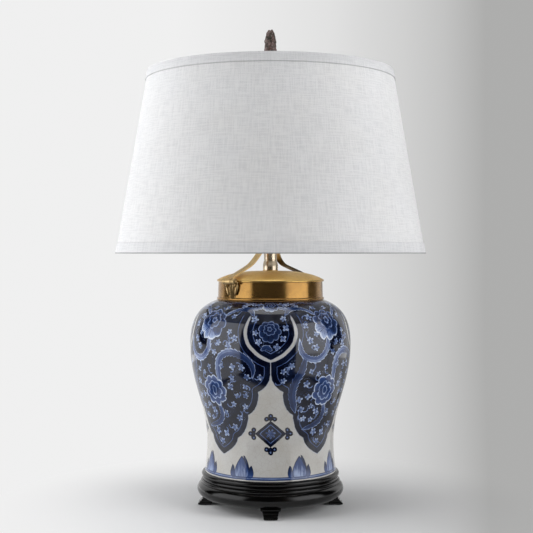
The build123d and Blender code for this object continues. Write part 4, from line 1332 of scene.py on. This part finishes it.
class LAMP_OT_shade(bpy.types.Operator):
    """Wraps the linen shade and its edge trims"""

    bl_idname = "jar_lamp.shade"
    bl_label = "Shade"

    def execute(self, context):
        look = context.scene.jar_lamp_shade
        cloth = linen_cloth("white linen", look)
        inner = SHADE_BOTTOM_RADIUS - COVER_THICKNESS, SHADE_TOP_RADIUS - COVER_THICKNESS
        sheet = [(inner[0], SHADE_BOTTOM), (SHADE_BOTTOM_RADIUS, SHADE_BOTTOM)]
        sheet += [(SHADE_TOP_RADIUS, SHADE_TOP), (inner[1], SHADE_TOP)]
        cover = self.wrap(look, sheet, "shade_linen", cloth, "shade_cover")
        # The trims carry painted shadow lines along their edges
        edged = linen_cloth("linen trim", look, PAINTED_EDGE_SHADOWS)
        low = self.wrap(look, self.strip(*LOWER_TRIM), "shade_lower_trim", edged, "bottom_trim")
        high = self.wrap(look, self.strip(*UPPER_TRIM), "shade_upper_trim", edged, "top_trim")
        return {"FINISHED"}

    def wrap(self, look, outline, name, cloth, part):
        cloth_map(turn(outline, look.around).data)
        return settle(name, cloth, "shade", [part])

    def strip(self, bottom, top, thick):
        """Outline of a trim with softened edges, laid on the cover."""
        slope = (SHADE_BOTTOM_RADIUS - SHADE_TOP_RADIUS) / (SHADE_TOP - SHADE_BOTTOM)
        lift, ease, bend = 0.08, 0.3, 0.4
        line = [(bottom, lift), (bottom, thick - ease), (bottom + bend, thick)]
        line += [(top - bend, thick), (top, thick - ease), (top, lift)]
        return [(SHADE_BOTTOM_RADIUS - slope * (z - SHADE_BOTTOM) + out, z) for z, out in line]


# Light panels, in metres: name, angle from the front to the right, distance, width, then height and
# level of the middle, the setting that lights it and its share of that setting. The soft panels
# light plain surfaces only, and stand at one distance.

TALL, LOW, SOFT = (1.5, 0.8), (0.44, -0.17), (1.6, 0.85)
SHINE_PANELS = (
    ("light_left", -70.0, 1.35, 1.45, TALL, "key_level", 1.0),
    ("light_left_foot", -70.0, 1.35, 1.45, LOW, "key_level", 0.6),
    ("light_left_foot_rear", -124.0, 1.35, 1.3, LOW, "key_level", 0.5),
    ("light_right", 60.5, 1.4, 1.36, TALL, "fill_level", 1.0),
    ("light_right_foot", 60.5, 1.4, 1.36, LOW, "fill_level", 0.5),
    ("light_right_foot_rear", 112.0, 1.4, 1.3, LOW, "fill_level", 0.42),
)
SOFT_PANELS = (
    ("light_left_side", -80.0, 2.15),
    ("light_right_side", 55.0, 1.3),
    ("light_left_rear", -124.0, 1.0),
    ("light_right_rear", 124.0, 0.2),
    ("light_rear", 180.0, 0.6),
)
PANEL_COLOUR = (0.99, 0.997, 1.012)
OVERHEAD_SIZE = 1.2
CAMERA_PLACE, CAMERA_DIP, CAMERA_LENS = (-0.0058, -1.664, 0.3747), 0.742, 75.65
# Painted falloff of light across the paper: place along the ramp, and its grey
PAPER_PAINTED_FALLOFF = ((0.3, 0.0), (0.51, 0.14), (0.64, 0.26), (0.71, 0.39), (0.8, 0.53), (0.89, 0.72), (0.98, 1.0))


class LAMP_OT_stage(bpy.types.Operator):
    """Lays the paper, hangs the light panels and sets the camera"""

    bl_idname = "jar_lamp.stage"
    bl_label = "Stage"

    def execute(self, context):
        look = context.scene.jar_lamp_stage
        self.paper(look)
        for panel in SHINE_PANELS:
            self.panel(look, *panel)
        for name, azimuth, share in SOFT_PANELS:
            soft = self.panel(look, name, azimuth, 1.5, 1.2, SOFT, "soft_level", share)
            soft.visible_glossy = False
            soft.visible_camera = False
        self.overhead(look)
        self.room(context, look)
        bpy.ops.object.camera_add(location=CAMERA_PLACE, rotation=(math.radians(90 - CAMERA_DIP), 0, 0))
        camera = bpy.context.object
        camera.name = "photo_camera"
        camera.data.sensor_width = 36.0
        camera.data.lens = CAMERA_LENS
        camera.data.clip_start = 0.01
        context.scene.camera = camera
        context.scene.view_settings.view_transform = "Standard"
        return {"FINISHED"}

    def paper(self, look):
        """A sheet on the floor that curves up behind the lamp."""
        bpy.ops.object.select_all(action="DESELECT")
        bpy.ops.mesh.primitive_plane_add(size=1.0, location=(0, 0, 0))
        paper = bpy.context.object
        paper.name = "paper"
        paper.scale = (9.0, 5.5, 1.0)
        paper.location = (0, -0.75, -0.0004)
        apply_place()
        bpy.ops.object.mode_set(mode="EDIT")
        bpy.ops.mesh.select_mode(type="EDGE")
        bpy.ops.mesh.select_all(action="DESELECT")
        bpy.ops.object.mode_set(mode="OBJECT")
        for edge in paper.data.edges:
            edge.select = all(paper.data.vertices[v].co.y > 1.9 for v in edge.vertices)
        bpy.ops.object.mode_set(mode="EDIT")
        steps = 8
        bend = [step * math.pi / 2 / steps for step in range(steps + 1)]
        moves = [(0, math.sin(b) - math.sin(a), math.cos(a) - math.cos(b)) for a, b in zip(bend, bend[1:])]
        for move in moves + [(0, 0, 3.5)]:
            bpy.ops.mesh.extrude_region_move(TRANSFORM_OT_translate={"value": move})
        bpy.ops.mesh.select_all(action="SELECT")
        bpy.ops.mesh.normals_make_consistent(inside=False)
        bpy.ops.object.mode_set(mode="OBJECT")
        bpy.ops.object.shade_smooth()
        paper.data.materials.append(self.paper_finish(look))

    def paper_finish(self, look):
        """Pale paper that keeps the lamp's shadow and grows lighter away from it, and is painted darker
        towards the right as a falloff of light; in polish it ends as a table top does."""
        wires = Finish("seamless paper", Roughness=0.85, Specular_IOR_Level=0.2)
        path = wires.outs("ShaderNodeLightPath")
        seen = wires.most(path["Is Camera Ray"], path["Is Glossy Ray"], path["Is Transmission Ray"])
        right, back, _ = wires.parts(wires.place())
        far = wires.rise(wires.reach(right, back), 0.15, 0.42)
        fan = right / wires.most(back + 1.7, 0.2)
        # Painted falloff of light: the floor and the backdrop are painted darker towards the right
        painted_falloff = wires.ramp(fan * 2.5 + 0.5, [(place, (grey,) * 3) for place, grey in PAPER_PAINTED_FALLOFF])
        painted_falloff = painted_falloff * wires.rise(back, -0.8, -0.25) * wires.rise(fan, 0.5, 0.28)
        wires.feed(wires.shader.inputs["Base Color"], wires.blend(painted_falloff, look.floor, times(look.floor, 0.6)))
        tone = wires.blend(painted_falloff, look.backdrop, look.backdrop_painted_shade)
        glow = wires.out("ShaderNodeEmission", {"Color": tone, "Strength": 1.0})
        paper = wires.out("ShaderNodeMixShader", {0: seen * far, 1: wires.surface, 2: glow})
        off = wires.most(wires.rise(back, -0.37, -0.41), wires.rise(abs(right), 0.4, 0.44))
        off = off * wires.rise(back, 0.5, 0.4) * path["Is Glossy Ray"]
        clear = wires.out("ShaderNodeBsdfTransparent")
        wires.show(wires.out("ShaderNodeMixShader", {0: off, 1: paper, 2: clear}))
        return wires.material

    def panel(self, look, name, azimuth, distance, wide, upright, setting, share):
        """A light panel that faces the lamp."""
        tall, height = upright
        turned = math.radians(azimuth)
        spot = Vector((math.sin(turned) * distance, -math.cos(turned) * distance, height))
        aim = Vector((0, 0, height)) - spot
        bpy.ops.object.light_add(type="AREA", location=spot, rotation=aim.to_track_quat("-Z", "Y").to_euler())
        lamp = bpy.context.object
        lamp.name = name
        lamp.data.shape = "RECTANGLE"
        lamp.data.size = wide
        lamp.data.size_y = tall
        lamp.data.energy = getattr(look, setting) * share * math.pi * wide * tall
        lamp.data.color = PANEL_COLOUR
        return lamp

    def overhead(self, look):
        """A round light that shines down through the shade's open top."""
        bpy.ops.object.light_add(type="AREA", location=(0, 0, 2.0))
        lamp = bpy.context.object
        lamp.name = "light_overhead"
        lamp.data.shape = "DISK"
        lamp.data.size = OVERHEAD_SIZE
        lamp.data.energy = look.top_level * math.pi * math.pi * (OVERHEAD_SIZE / 2) ** 2

    def room(self, context, look):
        """A dim room: pale to the camera, even for plain surfaces, dark in polish."""
        room = bpy.data.worlds.new("room")
        context.scene.world = room
        room.use_nodes = True
        wires = Wiring(room.node_tree)
        plain = room.node_tree.nodes["Background"]
        wires.feed(plain.inputs["Color"], (1.0, 1.0, 1.0))
        path = wires.outs("ShaderNodeLightPath")
        light = wires.out("ShaderNodeMix", {0: path["Is Glossy Ray"], 2: look.room_level, 3: look.dark_level})
        light = wires.out("ShaderNodeMix", {0: path["Is Camera Ray"], 2: light, 3: look.backdrop[0]})
        wires.feed(plain.inputs["Strength"], light)


class LAMP_PT_pieces(bpy.types.Panel):
    """Lists the pieces of the lamp"""

    bl_idname = "LAMP_PT_pieces"
    bl_label = "Jar Lamp"
    bl_space_type = "VIEW_3D"
    bl_region_type = "UI"
    bl_category = "Jar Lamp"

    def draw(self, context):
        for operator in PIECES:
            self.layout.operator(operator.bl_idname)


GROUPS = (
    ("jar_lamp_jar", JarSettings),
    ("jar_lamp_stand", StandSettings),
    ("jar_lamp_brass", BrassSettings),
    ("jar_lamp_shade", ShadeSettings),
    ("jar_lamp_stage", StageSettings),
)
PIECES = (
    LAMP_OT_stage, LAMP_OT_hardware, LAMP_OT_jar, LAMP_OT_stand, LAMP_OT_lugs, LAMP_OT_shade, LAMP_OT_finial,
)


def register():
    for name, group in GROUPS:
        bpy.utils.register_class(group)
        setattr(bpy.types.Scene, name, PointerProperty(type=group))
    for operator in PIECES:
        bpy.utils.register_class(operator)
    bpy.utils.register_class(LAMP_PT_pieces)


def unregister():
    bpy.utils.unregister_class(LAMP_PT_pieces)
    for operator in reversed(PIECES):
        bpy.utils.unregister_class(operator)
    for name, group in reversed(GROUPS):
        delattr(bpy.types.Scene, name)
        bpy.utils.unregister_class(group)


def main():
    register()
    for make in (age_group, weave_group, blossom_group, peony_group, leaf_group):
        make()
    for operator in PIECES:
        section, name = operator.bl_idname.split(".")
        getattr(getattr(bpy.ops, section), name)()


if __name__ == "__main__":
    main()
